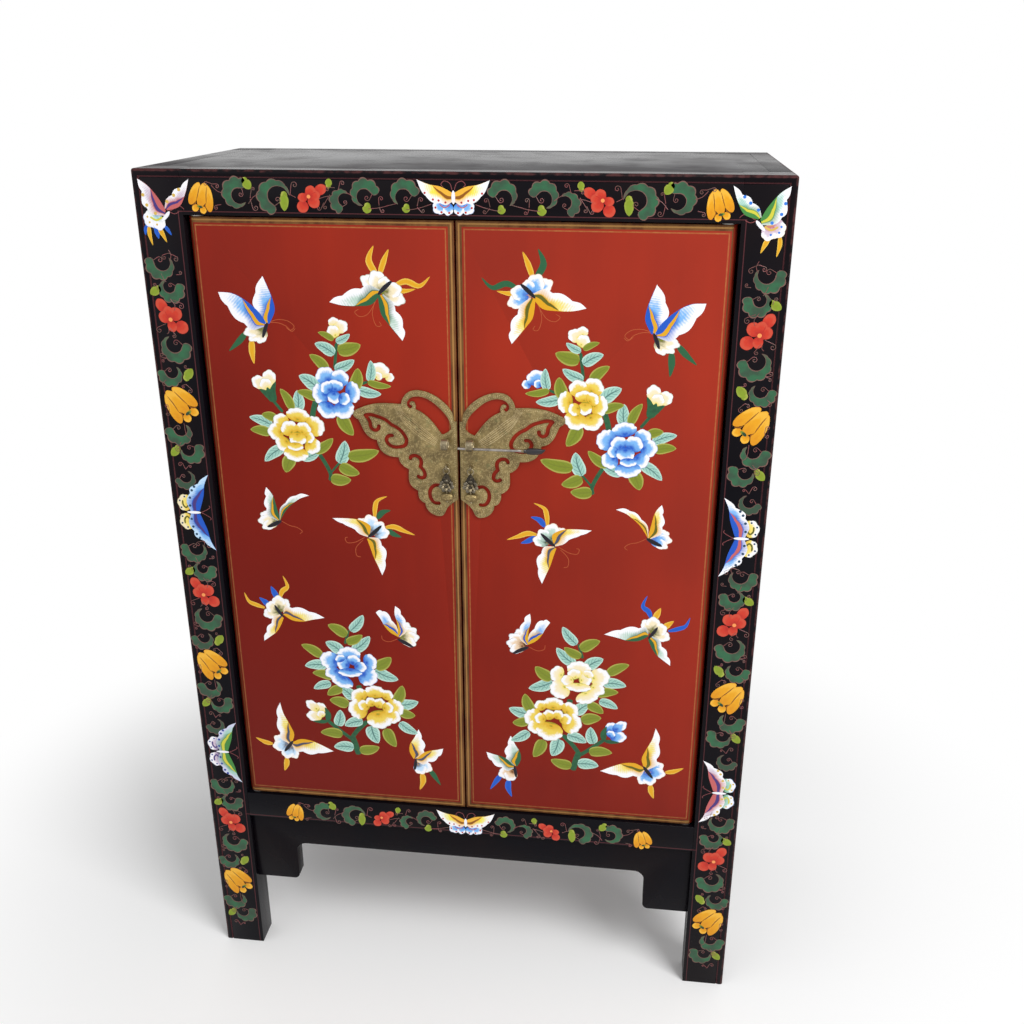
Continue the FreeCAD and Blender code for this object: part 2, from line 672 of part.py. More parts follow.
def nail_place(side, spot):
    """Expressions for the place of a nail in the plate's face."""
    scale = f"Sizes.plate_reach / {DRAWN_REACH}"
    out = f"({MEETING} + Sizes.plate_lip + {spot[0] - MEETING_SIDE} * {scale})"
    return on_side(side, out), f"Sizes.lock_height + ({spot[1]}) * {scale}"


def cut_hardware_seats(body, hand, start, staple_deep, eye_deep, nail_deep):
    """Cut the holes of a door's staple, pull eye and plate nails back from a plane."""
    side = SIDES[hand]
    middle = on_side(side, "Sizes.staple_apart / 2")
    block(body, "Subtractive", "staple_slot",
          (f"{middle} - Sizes.staple_wide / 2", f"{middle} + Sizes.staple_wide / 2"),
          (start, f"{start} + {staple_deep}"),
          (f"{STAPLE_Z} - Sizes.staple_strap", f"{STAPLE_Z} + Sizes.staple_strap"))
    round_bar(body, "Subtractive", "eye_hole", "y",
              (on_side(side, "Sizes.pull_apart / 2"), start, EYE_Z), eye_deep,
              "Sizes.eye_wire + Sizes.pull_play")
    for number, spot in enumerate(NAIL_SPOTS, start=1):
        across, up = nail_place(side, spot)
        round_bar(body, "Subtractive", f"nail_hole_{number}", "y", (across, start, up),
                  nail_deep, "Sizes.nail_shank")


def make_plate(hand):
    """Half of the pierced butterfly plate, lying on its door."""
    side = SIDES[hand]
    body = new_body(f"{hand}_butterfly_plate")
    outline = [smooth([plate_point(side, point) for point in run]) for run in PLATE_OUTLINE]
    pad = body.newObject("PartDesign::Pad", "sheet_metal")
    pad.Profile = front_sketch(body, "outline", outline)
    pad.setExpression("Length", "Sizes.plate_thick")
    doc.recompute()
    gap = [smooth([plate_point(side, point) for point in run]) for run in FEELER_GAP]
    pierce(body, front_sketch(body, "feeler_outline", gap), "feeler_gap")
    half = size("piercing_wide") / 2
    for name, line in PIERCINGS.items():
        slot = slot_curves([plate_point(side, point) for point in line], half)
        pierce(body, front_sketch(body, f"{name}_outline", slot), name)
    cut_hardware_seats(body, hand, PLATE_FACE, "Sizes.plate_thick", "Sizes.plate_thick",
                       "Sizes.plate_thick")
    return keep(body, f"{hand}_butterfly_plate")


def make_nails(hand):
    """The domed nails at the plate's wing tip and foot."""
    side = SIDES[hand]
    nails = []
    for number, spot in enumerate(NAIL_SPOTS, start=1):
        across, up = nail_place(side, spot)
        body = new_body(f"{hand}_nail_{number}")
        round_bar(body, "Additive", "shank", "y", (across, PLATE_FACE, up),
                  "Sizes.nail_long", "Sizes.nail_shank")
        dome = solid_of(body, "Ellipsoid", "dome", "y", (across, PLATE_FACE, up),
                        Radius1="Sizes.nail_dome", Radius2="Sizes.nail_head",
                        Radius3="Sizes.nail_head")
        dome.Angle1 = -90
        dome.Angle2 = 0
        nails.append(body)
    return group(f"{hand}_plate_nails", nails)


# ---------------------------------------------------------------- doors

def make_door(hand):
    """A door board with a full-round hinge edge, bored for its pivots and hardware."""
    side = SIDES[hand]
    body = new_body(f"{hand}_door_board")
    heights = (DOOR_LOW, DOOR_HIGH)
    block(body, "Additive", "board", mirrored_span(side, MEETING, PIVOT_X),
          (DOOR_FRONT, DOOR_BACK), heights)
    round_bar(body, "Additive", "hinge_round", "z", (on_side(side, PIVOT_X), PIVOT_Y, DOOR_LOW),
              f"{DOOR_HIGH} - {DOOR_LOW}", "Sizes.door_thick / 2")
    for level, start in (("bottom", DOOR_LOW), ("top", f"{DOOR_HIGH} - Sizes.pivot_in_door")):
        round_bar(body, "Subtractive", f"{level}_pivot_bore", "z",
                  (on_side(side, PIVOT_X), PIVOT_Y, start), "Sizes.pivot_in_door",
                  "Sizes.pivot_radius")
    cut_hardware_seats(body, hand, DOOR_FRONT, "Sizes.staple_in_door", "Sizes.eye_in_door",
                       "(Sizes.nail_long - Sizes.plate_thick)")
    return keep(body, f"{hand}_door_board")


def make_door_battens(hand):
    """The two battens across the back of a door that keep its boards flat."""
    side = SIDES[hand]
    battens = []
    low = f"({DOOR_LOW} + Sizes.door_batten_inset)"
    high = f"({DOOR_HIGH} - Sizes.door_batten_inset - Sizes.door_batten_wide)"
    for level, start in (("lower", low), ("upper", high)):
        body = new_body(f"{hand}_{level}_batten")
        block(body, "Additive", "stock",
              mirrored_span(side, f"{MEETING} + Sizes.door_batten_end",
                            f"{PIVOT_X} - Sizes.door_batten_end"),
              (DOOR_BACK, f"{DOOR_BACK} + Sizes.door_batten_thick"),
              (start, f"{start} + Sizes.door_batten_wide"))
        battens.append(body)
    return group(f"{hand}_door_battens", battens)


def make_pivot_pins(hand):
    """The two pins that stand out of a door's ends into the bushes of the rails."""
    side = SIDES[hand]
    pins = []
    long = "(Sizes.pivot_in_door + Sizes.door_gap + Sizes.pivot_in_rail - Sizes.collar_gap)"
    for level, start in (("bottom", f"{DOOR_LOW} + Sizes.pivot_in_door - {long}"),
                         ("top", f"{DOOR_HIGH} - Sizes.pivot_in_door")):
        body = new_body(f"{hand}_{level}_pivot")
        round_bar(body, "Additive", "pin", "z", (on_side(side, PIVOT_X), PIVOT_Y, start),
                  long, "Sizes.pivot_radius")
        pins.append(body)
    return group(f"{hand}_pivot_pins", pins)


def make_staple(hand):
    """A strap bent into a loop, its two ends driven through plate and door together."""
    side = SIDES[hand]
    middle = on_side(side, "Sizes.staple_apart / 2")
    edge = f"{middle} - Sizes.staple_wide / 2"
    body = new_body(f"{hand}_staple")
    block(body, "Additive", "ends", (edge, f"{middle} + Sizes.staple_wide / 2"),
          (STAPLE_Y, f"{DOOR_FRONT} + Sizes.staple_in_door"),
          (f"{STAPLE_Z} - Sizes.staple_strap", f"{STAPLE_Z} + Sizes.staple_strap"))
    round_bar(body, "Additive", "loop", "x", (edge, STAPLE_Y, STAPLE_Z),
              "Sizes.staple_wide", "Sizes.staple_radius")
    round_bar(body, "Subtractive", "loop_hole", "x", (edge, STAPLE_Y, STAPLE_Z),
              "Sizes.staple_wide", STAPLE_BORE)
    return keep(body, f"{hand}_staple")


# ---------------------------------------------------------------- hanging pulls

def make_pull_eye(hand):
    """The wire eye that a pull hangs from."""
    across = on_side(SIDES[hand], "Sizes.pull_apart / 2")
    body = new_body(f"{hand}_pull_eye")
    solid_of(body, "Torus", "eye", "x", (across, EYE_Y, EYE_Z),
             Radius1="Sizes.eye_radius", Radius2="Sizes.eye_wire")
    start = f"({EYE_Y} + Sizes.eye_radius)"
    round_bar(body, "Additive", "shank", "y", (across, start, EYE_Z),
              f"{DOOR_FRONT} + Sizes.eye_in_door - {start}", "Sizes.eye_wire + Sizes.pull_play")
    return keep(body, f"{hand}_pull_eye")


def make_pull(hand):
    """A cast pull: a ring through the eye, a leaf, a flower and a stem for the bead."""
    side = SIDES[hand]
    across = on_side(side, "Sizes.pull_apart / 2")
    ring_z = f"({SWING_Z} - Sizes.pull_ring_radius)"
    flower_z = f"({SWING_Z} - Sizes.flower_drop)"
    bead_low = f"({SWING_Z} - Sizes.bead_drop - Sizes.bead_half_height)"
    body = new_body(f"{hand}_pull")
    solid_of(body, "Torus", "ring", "y", (across, EYE_Y, ring_z),
             Radius1="Sizes.pull_ring_radius", Radius2="Sizes.pull_wire")
    round_bar(body, "Additive", "flower_heart", "y",
              (across, f"{EYE_Y} - Sizes.heart_thick / 2", flower_z),
              "Sizes.heart_thick", "Sizes.heart_radius")
    round_bar(body, "Additive", "stalk", "z", (across, EYE_Y, flower_z),
              f"{ring_z} - Sizes.pull_ring_radius - {flower_z}", "Sizes.stalk_radius")
    for number in range(PETALS):
        turn = 360.0 * (number + 0.5) / PETALS
        round_bar(body, "Additive", f"petal_{number + 1}", "y",
                  (f"{across} + Sizes.petal_ring * cos({turn}deg)",
                   f"{EYE_Y} - Sizes.petal_thick / 2",
                   f"{flower_z} + Sizes.petal_ring * sin({turn}deg)"),
                  "Sizes.petal_thick", "Sizes.petal_radius")
    foot = f"({bead_low} - Sizes.bead_bore)"
    round_bar(body, "Additive", "stem", "z", (across, EYE_Y, foot), f"{flower_z} - {foot}",
              "Sizes.bead_bore")
    round_bar(body, "Additive", "stem_head", "z", (across, EYE_Y, foot),
              "Sizes.bead_bore", "Sizes.bead_bore + Sizes.pull_wire")
    doc.recompute()
    add_leaf(body, side)
    return keep(body, f"{hand}_pull")


def add_leaf(body, side):
    """The pointed leaf between a pull's ring and its flower, outlined by two arcs."""
    swing = (size("lock_height") - size("eye_drop") - size("eye_radius") + size("eye_wire")
             + size("pull_wire") + size("pull_play"))
    across = side * size("pull_apart") / 2
    high = Vector(across, swing - 2 * size("pull_ring_radius"), 0)
    low = high - Vector(0, size("leaf_long"), 0)
    bulge = Vector(size("leaf_wide") / 2, 0, 0)
    middle = (high + low) / 2
    sketch = front_sketch(body, "leaf_outline",
                          [Part.Arc(high, middle + bulge, low), Part.Arc(low, middle - bulge, high)],
                          f"({EYE_Y} + Sizes.leaf_thick / 2)")
    pad = body.newObject("PartDesign::Pad", "leaf")
    pad.Profile = sketch
    pad.setExpression("Length", "Sizes.leaf_thick")
    doc.recompute()


def make_bead(hand):
    """The flattened oval bead, threaded on the stem of a pull."""
    across = on_side(SIDES[hand], "Sizes.pull_apart / 2")
    middle = f"({SWING_Z} - Sizes.bead_drop)"
    body = new_body(f"{hand}_bead")
    solid_of(body, "Ellipsoid", "bead", "z", (across, EYE_Y, middle),
             Radius1="Sizes.bead_half_height", Radius2="Sizes.bead_radius",
             Radius3="Sizes.bead_half_thick")
    round_bar(body, "Subtractive", "thread_hole", "z",
              (across, EYE_Y, f"{middle} - Sizes.bead_half_height"),
              "Sizes.bead_half_height * 2", "Sizes.bead_bore")
    return keep(body, f"{hand}_bead")


# ---------------------------------------------------------------- lock pin

def make_lock_pin():
    """The sliding pin, drawn clear of the left door: steel rod, brass ferrule, carved grip."""
    tip = "Sizes.lock_pin_withdrawn"
    grip = "(Sizes.lock_pin_withdrawn + Sizes.lock_pin_long - Sizes.handle_socket)"
    rod = new_body("lock_rod")
    round_bar(rod, "Additive", "rod", "x", (tip, STAPLE_Y, LOCK_PIN_Z), "Sizes.lock_pin_long",
              "Sizes.lock_pin_radius")
    keep(rod, "lock_rod")
    ferrule = new_body("lock_ferrule")
    start = f"{grip} - Sizes.ferrule_long"
    round_bar(ferrule, "Additive", "ring", "x", (start, STAPLE_Y, LOCK_PIN_Z),
              "Sizes.ferrule_long", "Sizes.lock_pin_radius + Sizes.ferrule_wall")
    round_bar(ferrule, "Subtractive", "hole", "x", (start, STAPLE_Y, LOCK_PIN_Z),
              "Sizes.ferrule_long", "Sizes.lock_pin_radius")
    keep(ferrule, "lock_ferrule")
    keep(make_grip(grip), "lock_grip")


def make_grip(start):
    """The spade-shaped grip, turned about the rod, broad near the rod and pointed at the end."""
    body = new_body("turned_grip")
    sketch = body.newObject("Sketcher::SketchObject", "profile")
    plane = next(f for f in body.Origin.OriginFeatures if f.Role == "XY_Plane")
    sketch.AttachmentSupport = [(plane, "")]
    sketch.MapMode = "FlatFace"
    long = size("handle_long")
    radius = size("handle_radius")
    neck = size("lock_pin_radius") + size("ferrule_wall")
    sketch.addGeometry(Part.LineSegment(Vector(0, 0, 0), Vector(0, neck, 0)), False)
    sketch.addGeometry(smooth([Vector(0, neck, 0), Vector(long * 0.15, radius * 0.86, 0),
                               Vector(long * 0.35, radius, 0), Vector(long * 0.65, radius * 0.74, 0),
                               Vector(long * 0.88, radius * 0.36, 0), Vector(long, 0, 0)]), False)
    sketch.addGeometry(Part.LineSegment(Vector(long, 0, 0), Vector(0, 0, 0)), False)
    doc.recompute()
    turned = body.newObject("PartDesign::Revolution", "spade")
    turned.Profile = sketch
    turned.ReferenceAxis = (sketch, ["H_Axis"])
    turned.Angle = 360
    doc.recompute()
    round_bar(body, "Subtractive", "socket", "x", ("0", "0", "0"), "Sizes.handle_socket",
              "Sizes.lock_pin_radius")
    doc.recompute()
    seated = doc.addObject("Part::Compound", "seated_grip")
    body.setExpression("Placement.Base.x", start)
    body.setExpression("Placement.Base.y", STAPLE_Y)
    body.setExpression("Placement.Base.z", LOCK_PIN_Z)
    seated.Links = [body]
    return seated


# ---------------------------------------------------------------- the whole

for end in ("front", "rear"):
    for hand in SIDES:
        make_post(end, hand)
    for level in ("top", "bottom"):
        make_long_rail(level, end)
    make_long_apron(end)
for hand in SIDES:
    for level in ("top", "bottom"):
        make_side_rail(level, hand)
    make_side_apron(hand)
make_board("top", "top_board")
make_board("bottom", "floor_board")
make_panels()
make_shelf()
make_door_stops()
group("pivot_bushes", [make_bush(level, hand) for level in ("top", "bottom") for hand in SIDES])
for hand in SIDES:
    make_door(hand)
    make_door_battens(hand)
    make_pivot_pins(hand)
    make_plate(hand)
    make_nails(hand)
    make_staple(hand)
    make_pull_eye(hand)
    make_pull(hand)
    make_bead(hand)
make_lock_pin()
doc.recompute()

# ---------------------------------------------------------------- checks and export

for item in doc.Objects:
    if any(word in item.State for word in ("Invalid", "Error")):
        raise RuntimeError(f"{item.Label} did not build: {item.State}")
for node in nodes:
    if node.Shape.isNull() or not node.Shape.isValid() or not node.Shape.Solids:
        raise RuntimeError(f"{node.Label} is not a valid solid")

os.makedirs("parts", exist_ok=True)
for node in nodes:
    node.Shape.exportStep(f"parts/{node.Label}.step")
    box = node.Shape.BoundBox
    print(f"{node.Label}: {len(node.Shape.Solids)} solid(s), {node.Shape.Volume:.1f} mm3, "
          f"x {box.XMin:.2f}..{box.XMax:.2f} y {box.YMin:.2f}..{box.YMax:.2f} "
          f"z {box.ZMin:.2f}..{box.ZMax:.2f}")
whole = FreeCAD.BoundBox()
for node in nodes:
    whole.add(node.Shape.BoundBox)
print(f"{len(nodes)} sub-parts, {whole.XLength:.2f} x {whole.YLength:.2f} x {whole.ZLength:.2f} mm, "
      f"middle {whole.Center.x:.3f}, {whole.Center.y:.3f}")
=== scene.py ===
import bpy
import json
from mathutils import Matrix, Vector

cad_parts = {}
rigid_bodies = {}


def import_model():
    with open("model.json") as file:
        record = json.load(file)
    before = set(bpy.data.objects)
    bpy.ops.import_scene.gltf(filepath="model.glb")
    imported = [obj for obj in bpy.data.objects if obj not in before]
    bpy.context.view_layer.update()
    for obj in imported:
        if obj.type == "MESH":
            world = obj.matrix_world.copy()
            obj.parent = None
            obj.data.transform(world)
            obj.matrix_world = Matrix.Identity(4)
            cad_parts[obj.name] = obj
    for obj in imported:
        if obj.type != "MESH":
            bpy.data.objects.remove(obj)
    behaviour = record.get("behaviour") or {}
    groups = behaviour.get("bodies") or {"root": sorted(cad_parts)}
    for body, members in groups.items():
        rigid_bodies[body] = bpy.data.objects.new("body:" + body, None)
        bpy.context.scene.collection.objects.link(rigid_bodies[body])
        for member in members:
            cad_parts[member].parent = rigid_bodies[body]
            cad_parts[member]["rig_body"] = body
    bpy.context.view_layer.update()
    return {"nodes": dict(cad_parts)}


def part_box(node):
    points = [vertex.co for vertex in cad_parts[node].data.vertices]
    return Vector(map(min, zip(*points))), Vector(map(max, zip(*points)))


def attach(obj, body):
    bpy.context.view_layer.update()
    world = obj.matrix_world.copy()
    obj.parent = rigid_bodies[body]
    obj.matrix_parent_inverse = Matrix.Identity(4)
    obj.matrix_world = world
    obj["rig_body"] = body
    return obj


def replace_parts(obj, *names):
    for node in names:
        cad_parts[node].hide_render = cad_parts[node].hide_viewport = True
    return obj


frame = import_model()

"""Looks of a lacquered two-door cabinet, painted with peonies, vines and butterflies.

Lengths in the classes are in millimetres, measured on the cabinet: x runs outwards from the
line where the doors meet, z runs up from the floor. Meshes are in metres.
"""

import json
import logging
import math
from collections.abc import Callable, Iterable
from dataclasses import dataclass, field, replace
from enum import Enum
from functools import cache

import bmesh
import bpy
from mathutils import Vector

log = logging.getLogger("cabinet")
MM = 0.001
Pair = tuple[float, float]
Point = tuple[float, float, float]
Colour = Point
Line = list[Pair]
Stroke = tuple[Line, float]
Mesh = bpy.types.Mesh
Material = bpy.types.Material
Piece = bpy.types.Object
Tree = bpy.types.NodeTree
Node = bpy.types.Node
Socket = bpy.types.NodeSocket


def srgb(code: int) -> Colour:
    """Linear colour of a screen colour written as 0xRRGGBB."""
    parts = [(code >> shift & 255) / 255 for shift in (16, 8, 0)]
    return tuple(v / 12.92 if v <= 0.04045 else ((v + 0.055) / 1.055) ** 2.4 for v in parts)


def linked(name: str, data: bpy.types.ID, place: Point = (0.0, 0.0, 0.0)) -> Piece:
    """A new object of the scene that shows some data, at a place."""
    piece = bpy.data.objects.new(name, data)
    piece.location = place
    bpy.context.scene.collection.objects.link(piece)
    return piece


def new_mesh(name: str, points: list, faces: list, materials: Iterable[Material] = (),
             indices: list[int] = (), edges: list[tuple[int, int]] = ()) -> Mesh:
    """Make a mesh.

    Args:
        name: its name.
        points: places in metres.
        faces: faces among them.
        materials: its materials.
        indices: which material each face takes.
        edges: edges that belong to no face.

    Returns:
        The mesh.
    """
    mesh = bpy.data.meshes.new(name)
    mesh.from_pydata(points, edges, faces)
    for material in materials:
        mesh.materials.append(material)
    if indices:
        mesh.polygons.foreach_set("material_index", indices)
    return mesh


class Span:
    """The box of a CAD node in millimetres, with its middle and half its size."""

    def __init__(self, node: str) -> None:
        """Read the node's box."""
        self.low, self.high = (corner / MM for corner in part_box(node))
        self.centre = (self.low + self.high) / 2
        self.half = (self.high - self.low) / 2


def around(count: int) -> list[Pair]:
    """Cosine and sine at even steps around a circle."""
    return [(math.cos(angle), math.sin(angle))
            for angle in (2 * math.pi * step / count for step in range(count))]


def turned(point: Pair, degrees: float) -> Pair:
    """A point turned about the origin."""
    cos, sin = math.cos(math.radians(degrees)), math.sin(math.radians(degrees))
    return point[0] * cos - point[1] * sin, point[0] * sin + point[1] * cos


# ---- shader maths

def plug(tree: Tree, slot: Socket, value: object) -> None:
    """Link an output to a slot, or set the slot's own value.

    Args:
        tree: node tree that holds the slot.
        slot: input socket.
        value: a Sock, an output socket, a number, a colour or a vector.
    """
    value = getattr(value, "socket", value)
    if isinstance(value, Socket):
        tree.links.new(value, slot)
    else:
        slot.default_value = (*value, 1.0) if slot.type == "RGBA" else value


def new_node(tree: Tree, kind: str, settings: dict | None = None,
             inputs: dict | None = None, output: int | str = 0) -> "Sock":
    """Add a shader node.

    Args:
        tree: node tree that gets it.
        kind: the node's type, without ShaderNode.
        settings: its properties, set first.
        inputs: values or Socks by the input's name or number.
        output: which output is wanted.

    Returns:
        That output.
    """
    node = tree.nodes.new("ShaderNode" + kind)
    for key, value in (settings or {}).items():
        setattr(node, key, value)
    for key, value in (inputs or {}).items():
        plug(tree, node.inputs[key], value)
    return Sock(tree, node.outputs[output])


def maths(operation: str, swapped: bool = False) -> Callable[..., "Sock"]:
    """An operator of Sock that adds one Math node.

    Args:
        operation: the node's operation.
        swapped: whether the other value comes first, as in a reflected operator.

    Returns:
        The operator.
    """
    def apply(self: "Sock", *others: object) -> "Sock":
        """Add the node."""
        values = (*others, self) if swapped else (self, *others)
        return new_node(self.tree, "Math", {"operation": operation}, dict(enumerate(values)))

    return apply


@dataclass
class Sock:
    """An output socket whose maths adds Math nodes to its tree."""

    tree: Tree
    socket: Socket

    __add__ = __radd__ = maths("ADD")
    __sub__ = maths("SUBTRACT")
    __rsub__ = maths("SUBTRACT", True)
    __mul__ = __rmul__ = maths("MULTIPLY")
    __truediv__ = maths("DIVIDE")
    __rtruediv__ = maths("DIVIDE", True)
    __abs__ = maths("ABSOLUTE")
    least = maths("MINIMUM")
    most = maths("MAXIMUM")
    sine = maths("SINE")

    def ramp(self, low: float, high: float) -> "Sock":
        """A smooth step from 0 at low to 1 at high, which may be below low."""
        turned = low > high
        ends = {"From Min": min(low, high), "From Max": max(low, high),
                "To Min": float(turned), "To Max": float(not turned)}
        return new_node(self.tree, "MapRange", {"interpolation_type": "SMOOTHSTEP"},
                        {"Value": self, **ends})

    def near(self, middle: float, half: float, soft: float) -> "Sock":
        """1 within half of a middle value, with a soft edge."""
        return abs(self - middle).ramp(half + soft, half)


class Shader:
    """A material with one Principled surface and short ways to feed it."""

    def __init__(self, name: str) -> None:
        """Start a material of that name."""
        self.material = bpy.data.materials.new(name)
        self.material.use_nodes = True
        self.tree = self.material.node_tree
        self.surface = self.tree.nodes["Principled BSDF"]

    def add(self, kind: str, settings: dict | None = None, inputs: dict | None = None,
            output: int | str = 0) -> Sock:
        """Add a node; see new_node."""
        return new_node(self.tree, kind, settings, inputs, output)

    def mix(self, factor: object, first: object, second: object) -> Sock:
        """A colour between two colours."""
        return self.add("Mix", {"data_type": "RGBA"}, {0: factor, 6: first, 7: second}, 2)

    def place(self) -> Sock:
        """Object coordinates."""
        return self.add("TexCoord", output="Object")

    def parts(self, vector: Sock) -> list[Sock]:
        """A vector's three numbers."""
        node = self.add("SeparateXYZ", None, {0: vector}).socket.node
        return [Sock(self.tree, out) for out in node.outputs]

    def xyz(self) -> list[Sock]:
        """Object coordinates in millimetres, one Sock for each axis."""
        return [part * (1 / MM) for part in self.parts(self.place())]

    def stretched(self, scale: Point) -> Sock:
        """Object coordinates stretched along each axis."""
        return self.add("Mapping", None, {"Vector": self.place(), "Scale": scale})

    def noise(self, scale: float, detail: float = 3.0, vector: Sock | None = None) -> Sock:
        """Cloudy noise from 0 to 1, middling at 0.5."""
        return self.add("TexNoise", None, {"Vector": vector or self.place(), "Scale": scale,
                                           "Detail": detail})

    def cells(self, scale: float) -> Sock:
        """Distance to scattered points."""
        return self.add("TexVoronoi", None, {"Vector": self.place(), "Scale": scale})

    def stored(self, name: str) -> Sock:
        """A colour stored on the mesh."""
        return self.add("Attribute", {"attribute_name": name}, output="Color")

    def uv(self) -> list[Sock]:
        """The mesh's own map, along and across."""
        return self.parts(self.add("UVMap", {"uv_map": "brush"}))[:2]

    def bump(self, height: Sock, distance: float, strength: float) -> Sock:
        """A normal bumped by a height of 0 to 1, so many metres high."""
        return self.add("Bump", None, {"Height": height, "Distance": distance,
                                       "Strength": strength})

    def finish(self, **inputs: object) -> Material:
        """Feed the surface's sockets, named with _ for a space, and give the material."""
        for key, value in inputs.items():
            plug(self.tree, self.surface.inputs[key.replace("_", " ")], value)
        return self.material


class Finish:
    """A finish that makes its material once."""

    def make(self) -> Material:
        """Build the material; each finish has its own."""
        raise NotImplementedError

    @cache
    def material(self) -> Material:
        """The finish's one material."""
        return self.make()


# ---- finishes

@dataclass(frozen=True)
class BlackLacquer(Finish):
    """Black lacquer, rubbed brown along the cabinet's edges, with thin red border lines, dust, and
    a painted sheen on the sides, top and back.
    """

    half_width: float
    depth_front: float
    depth_back: float
    height: float
    post_inner: float
    rail_low: float
    rail_base: float
    black: Colour = srgb(0x0A090F)
    brown_black: Colour = srgb(0x120C0F)
    worn: Colour = srgb(0x4E2C2C)
    line: Colour = srgb(0x5E3236)
    # This grey is used for the dust film and specks, and for the painted sheen on the sides, top
    # and back.
    dust: Colour = srgb(0x463E42)
    wear_wide: float = 2.6
    line_inset: float = 6.8

    def make(self) -> Material:
        """Build the material from distances to the cabinet's edges."""
        s = Shader("black_lacquer")
        x, y, z = s.xyz()
        out = self.half_width - abs(x)
        front = y - self.depth_front
        deep = front.least(self.depth_back - y)
        top = self.height - z
        edge = out.least(deep).most(out.most(deep).least(top))
        cloud = s.noise(9.0, 4.0)
        fine = s.noise(160.0)
        away = front.ramp(8.0, 14.0)
        wear = (edge + (fine - 0.5) * 1.6).ramp(self.wear_wide, self.wear_wide - 0.9)
        wear = wear * (0.5 + cloud * 0.7).least(1.0)
        wear = wear.most((edge + (fine - 0.5) * 5.0).ramp(4.0, 1.5) * away * 0.7)
        face = front.ramp(6.0, 5.0)
        outer = out.least(top).near(self.line_inset, 0.4, 0.3)
        between = (abs(x) - self.post_inner).ramp(5.2, 4.4)
        post = abs(x).near(self.post_inner + 4.2, 0.3, 0.25)
        post = post * z.ramp(self.rail_low + 4.2, self.rail_low + 3.6)
        rail = z.near(self.rail_low + 3.4, 0.3, 0.25) * between
        base = z.near(self.rail_base + 2.0, 0.35, 0.25) * between
        lines = outer.most(post).most(rail.most(base)) * face
        lines = lines * (fine * 2.0).least(0.75)
        haze = s.noise(3.2, 5.0).ramp(0.5, 0.85) * 0.16
        marks = s.noise(30.0, 4.0, s.stretched((1.0, 1.0, 0.06))).ramp(0.45, 0.75) * 0.3
        # Painted sheen: away from the front, the black is greyed in soft clouds, standing in for
        # the lacquer's reflection, with upright brush streaks.
        streaks_and_sheen = (marks + s.noise(6.0, 5.0).ramp(0.42, 0.75) * 0.5) * away
        specks = s.cells(260.0).ramp(0.09, 0.05) * 0.3
        colour = s.mix(cloud.ramp(0.35, 0.7), self.black, self.brown_black)
        colour = s.mix((haze + streaks_and_sheen) * 0.35, colour, self.dust)
        colour = s.mix(specks * 0.4, colour, self.dust)
        colour = s.mix(lines, colour, self.line)
        colour = s.mix(wear, colour, s.mix(fine.ramp(0.35, 0.65), self.worn, self.brown_black))
        ripple = s.noise(28.0, 2.0) * 0.8 + fine * 0.2
        rough = 0.2 + haze + streaks_and_sheen * 0.3 + wear * 0.3 + cloud * 0.06
        return s.finish(Base_Color=colour, Roughness=rough,
                        Normal=s.bump(ripple, 0.0006, 0.25), Specular_IOR_Level=0.08)


@dataclass(frozen=True)
class RedLacquer(Finish):
    """Brick-red lacquer brushed upright, with a gold-brown band, a thin gold line, painted shade
    towards the lower left and painted sheen towards the upper right.
    """

    near_x: float
    far_x: float
    low_z: float
    high_z: float
    front_y: float
    red: Colour = srgb(0x9C250E)
    deep_red: Colour = srgb(0x70160C)
    # The lighter red below is a painted sheen, mixed in towards the upper right of the doors.
    faded_red: Colour = srgb(0xB4402E)
    band: Colour = srgb(0x744E2C)
    band_dark: Colour = srgb(0x56321E)
    gold: Colour = srgb(0xB88A4E)
    band_wide: float = 5.6
    line_inset: float = 7.6
    # slope sets how fast the painted shade and sheen change from side to side, in millimetres.
    slope: float = 700.0

    def make(self) -> Material:
        """Build the material from distances to the door's edges."""
        s = Shader("red_lacquer")
        x, y, z = s.xyz()
        out = (abs(x) - self.near_x).least(self.far_x - abs(x))
        edge = out.least((z - self.low_z).least(self.high_z - z))
        face = (y - self.front_y).ramp(2.0, 1.0)
        brushed = s.noise(6.0, 3.0, s.stretched((6.0, 6.0, 0.7)))
        cloud = s.noise(4.0, 3.0)
        fine = s.noise(220.0, 3.0)
        colour = s.mix((cloud * 0.8 + brushed * 0.2).ramp(0.3, 0.7), self.red, self.deep_red)
        # Painted shade and sheen: the red is darkened towards the bottom and the left, and
        # lightened towards the upper right, to stand in for how the light falls.
        low = 1 - z * (1 / self.high_z) - x * (1 / self.slope)
        colour = s.mix(low.ramp(-0.3, 1.1), colour, self.deep_red)
        colour = s.mix(low.ramp(0.75, -0.3) * 0.42, colour, self.faded_red)
        band = (edge + (fine - 0.5) * 0.5).ramp(self.band_wide, self.band_wide - 0.4) * face
        streak = s.noise(90.0, 4.0, s.stretched((1.0, 1.0, 0.25)))
        gilt = s.mix(streak.ramp(0.38, 0.66), self.band, self.band_dark)
        gilt = s.mix(edge.near(2.6, 0.5, 0.5) * 0.6, gilt, self.gold)
        line = edge.near(self.line_inset, 0.4, 0.4) * face * fine
        colour = s.mix(band, colour, gilt)
        colour = s.mix(line * 0.7, colour, self.gold)
        height = s.noise(34.0, 2.0) * 0.7 + brushed * 0.3
        return s.finish(Base_Color=colour, Roughness=0.3 + cloud * 0.12 + band * 0.1,
                        Normal=s.bump(height, 0.0005, 0.2), Specular_IOR_Level=0.1)


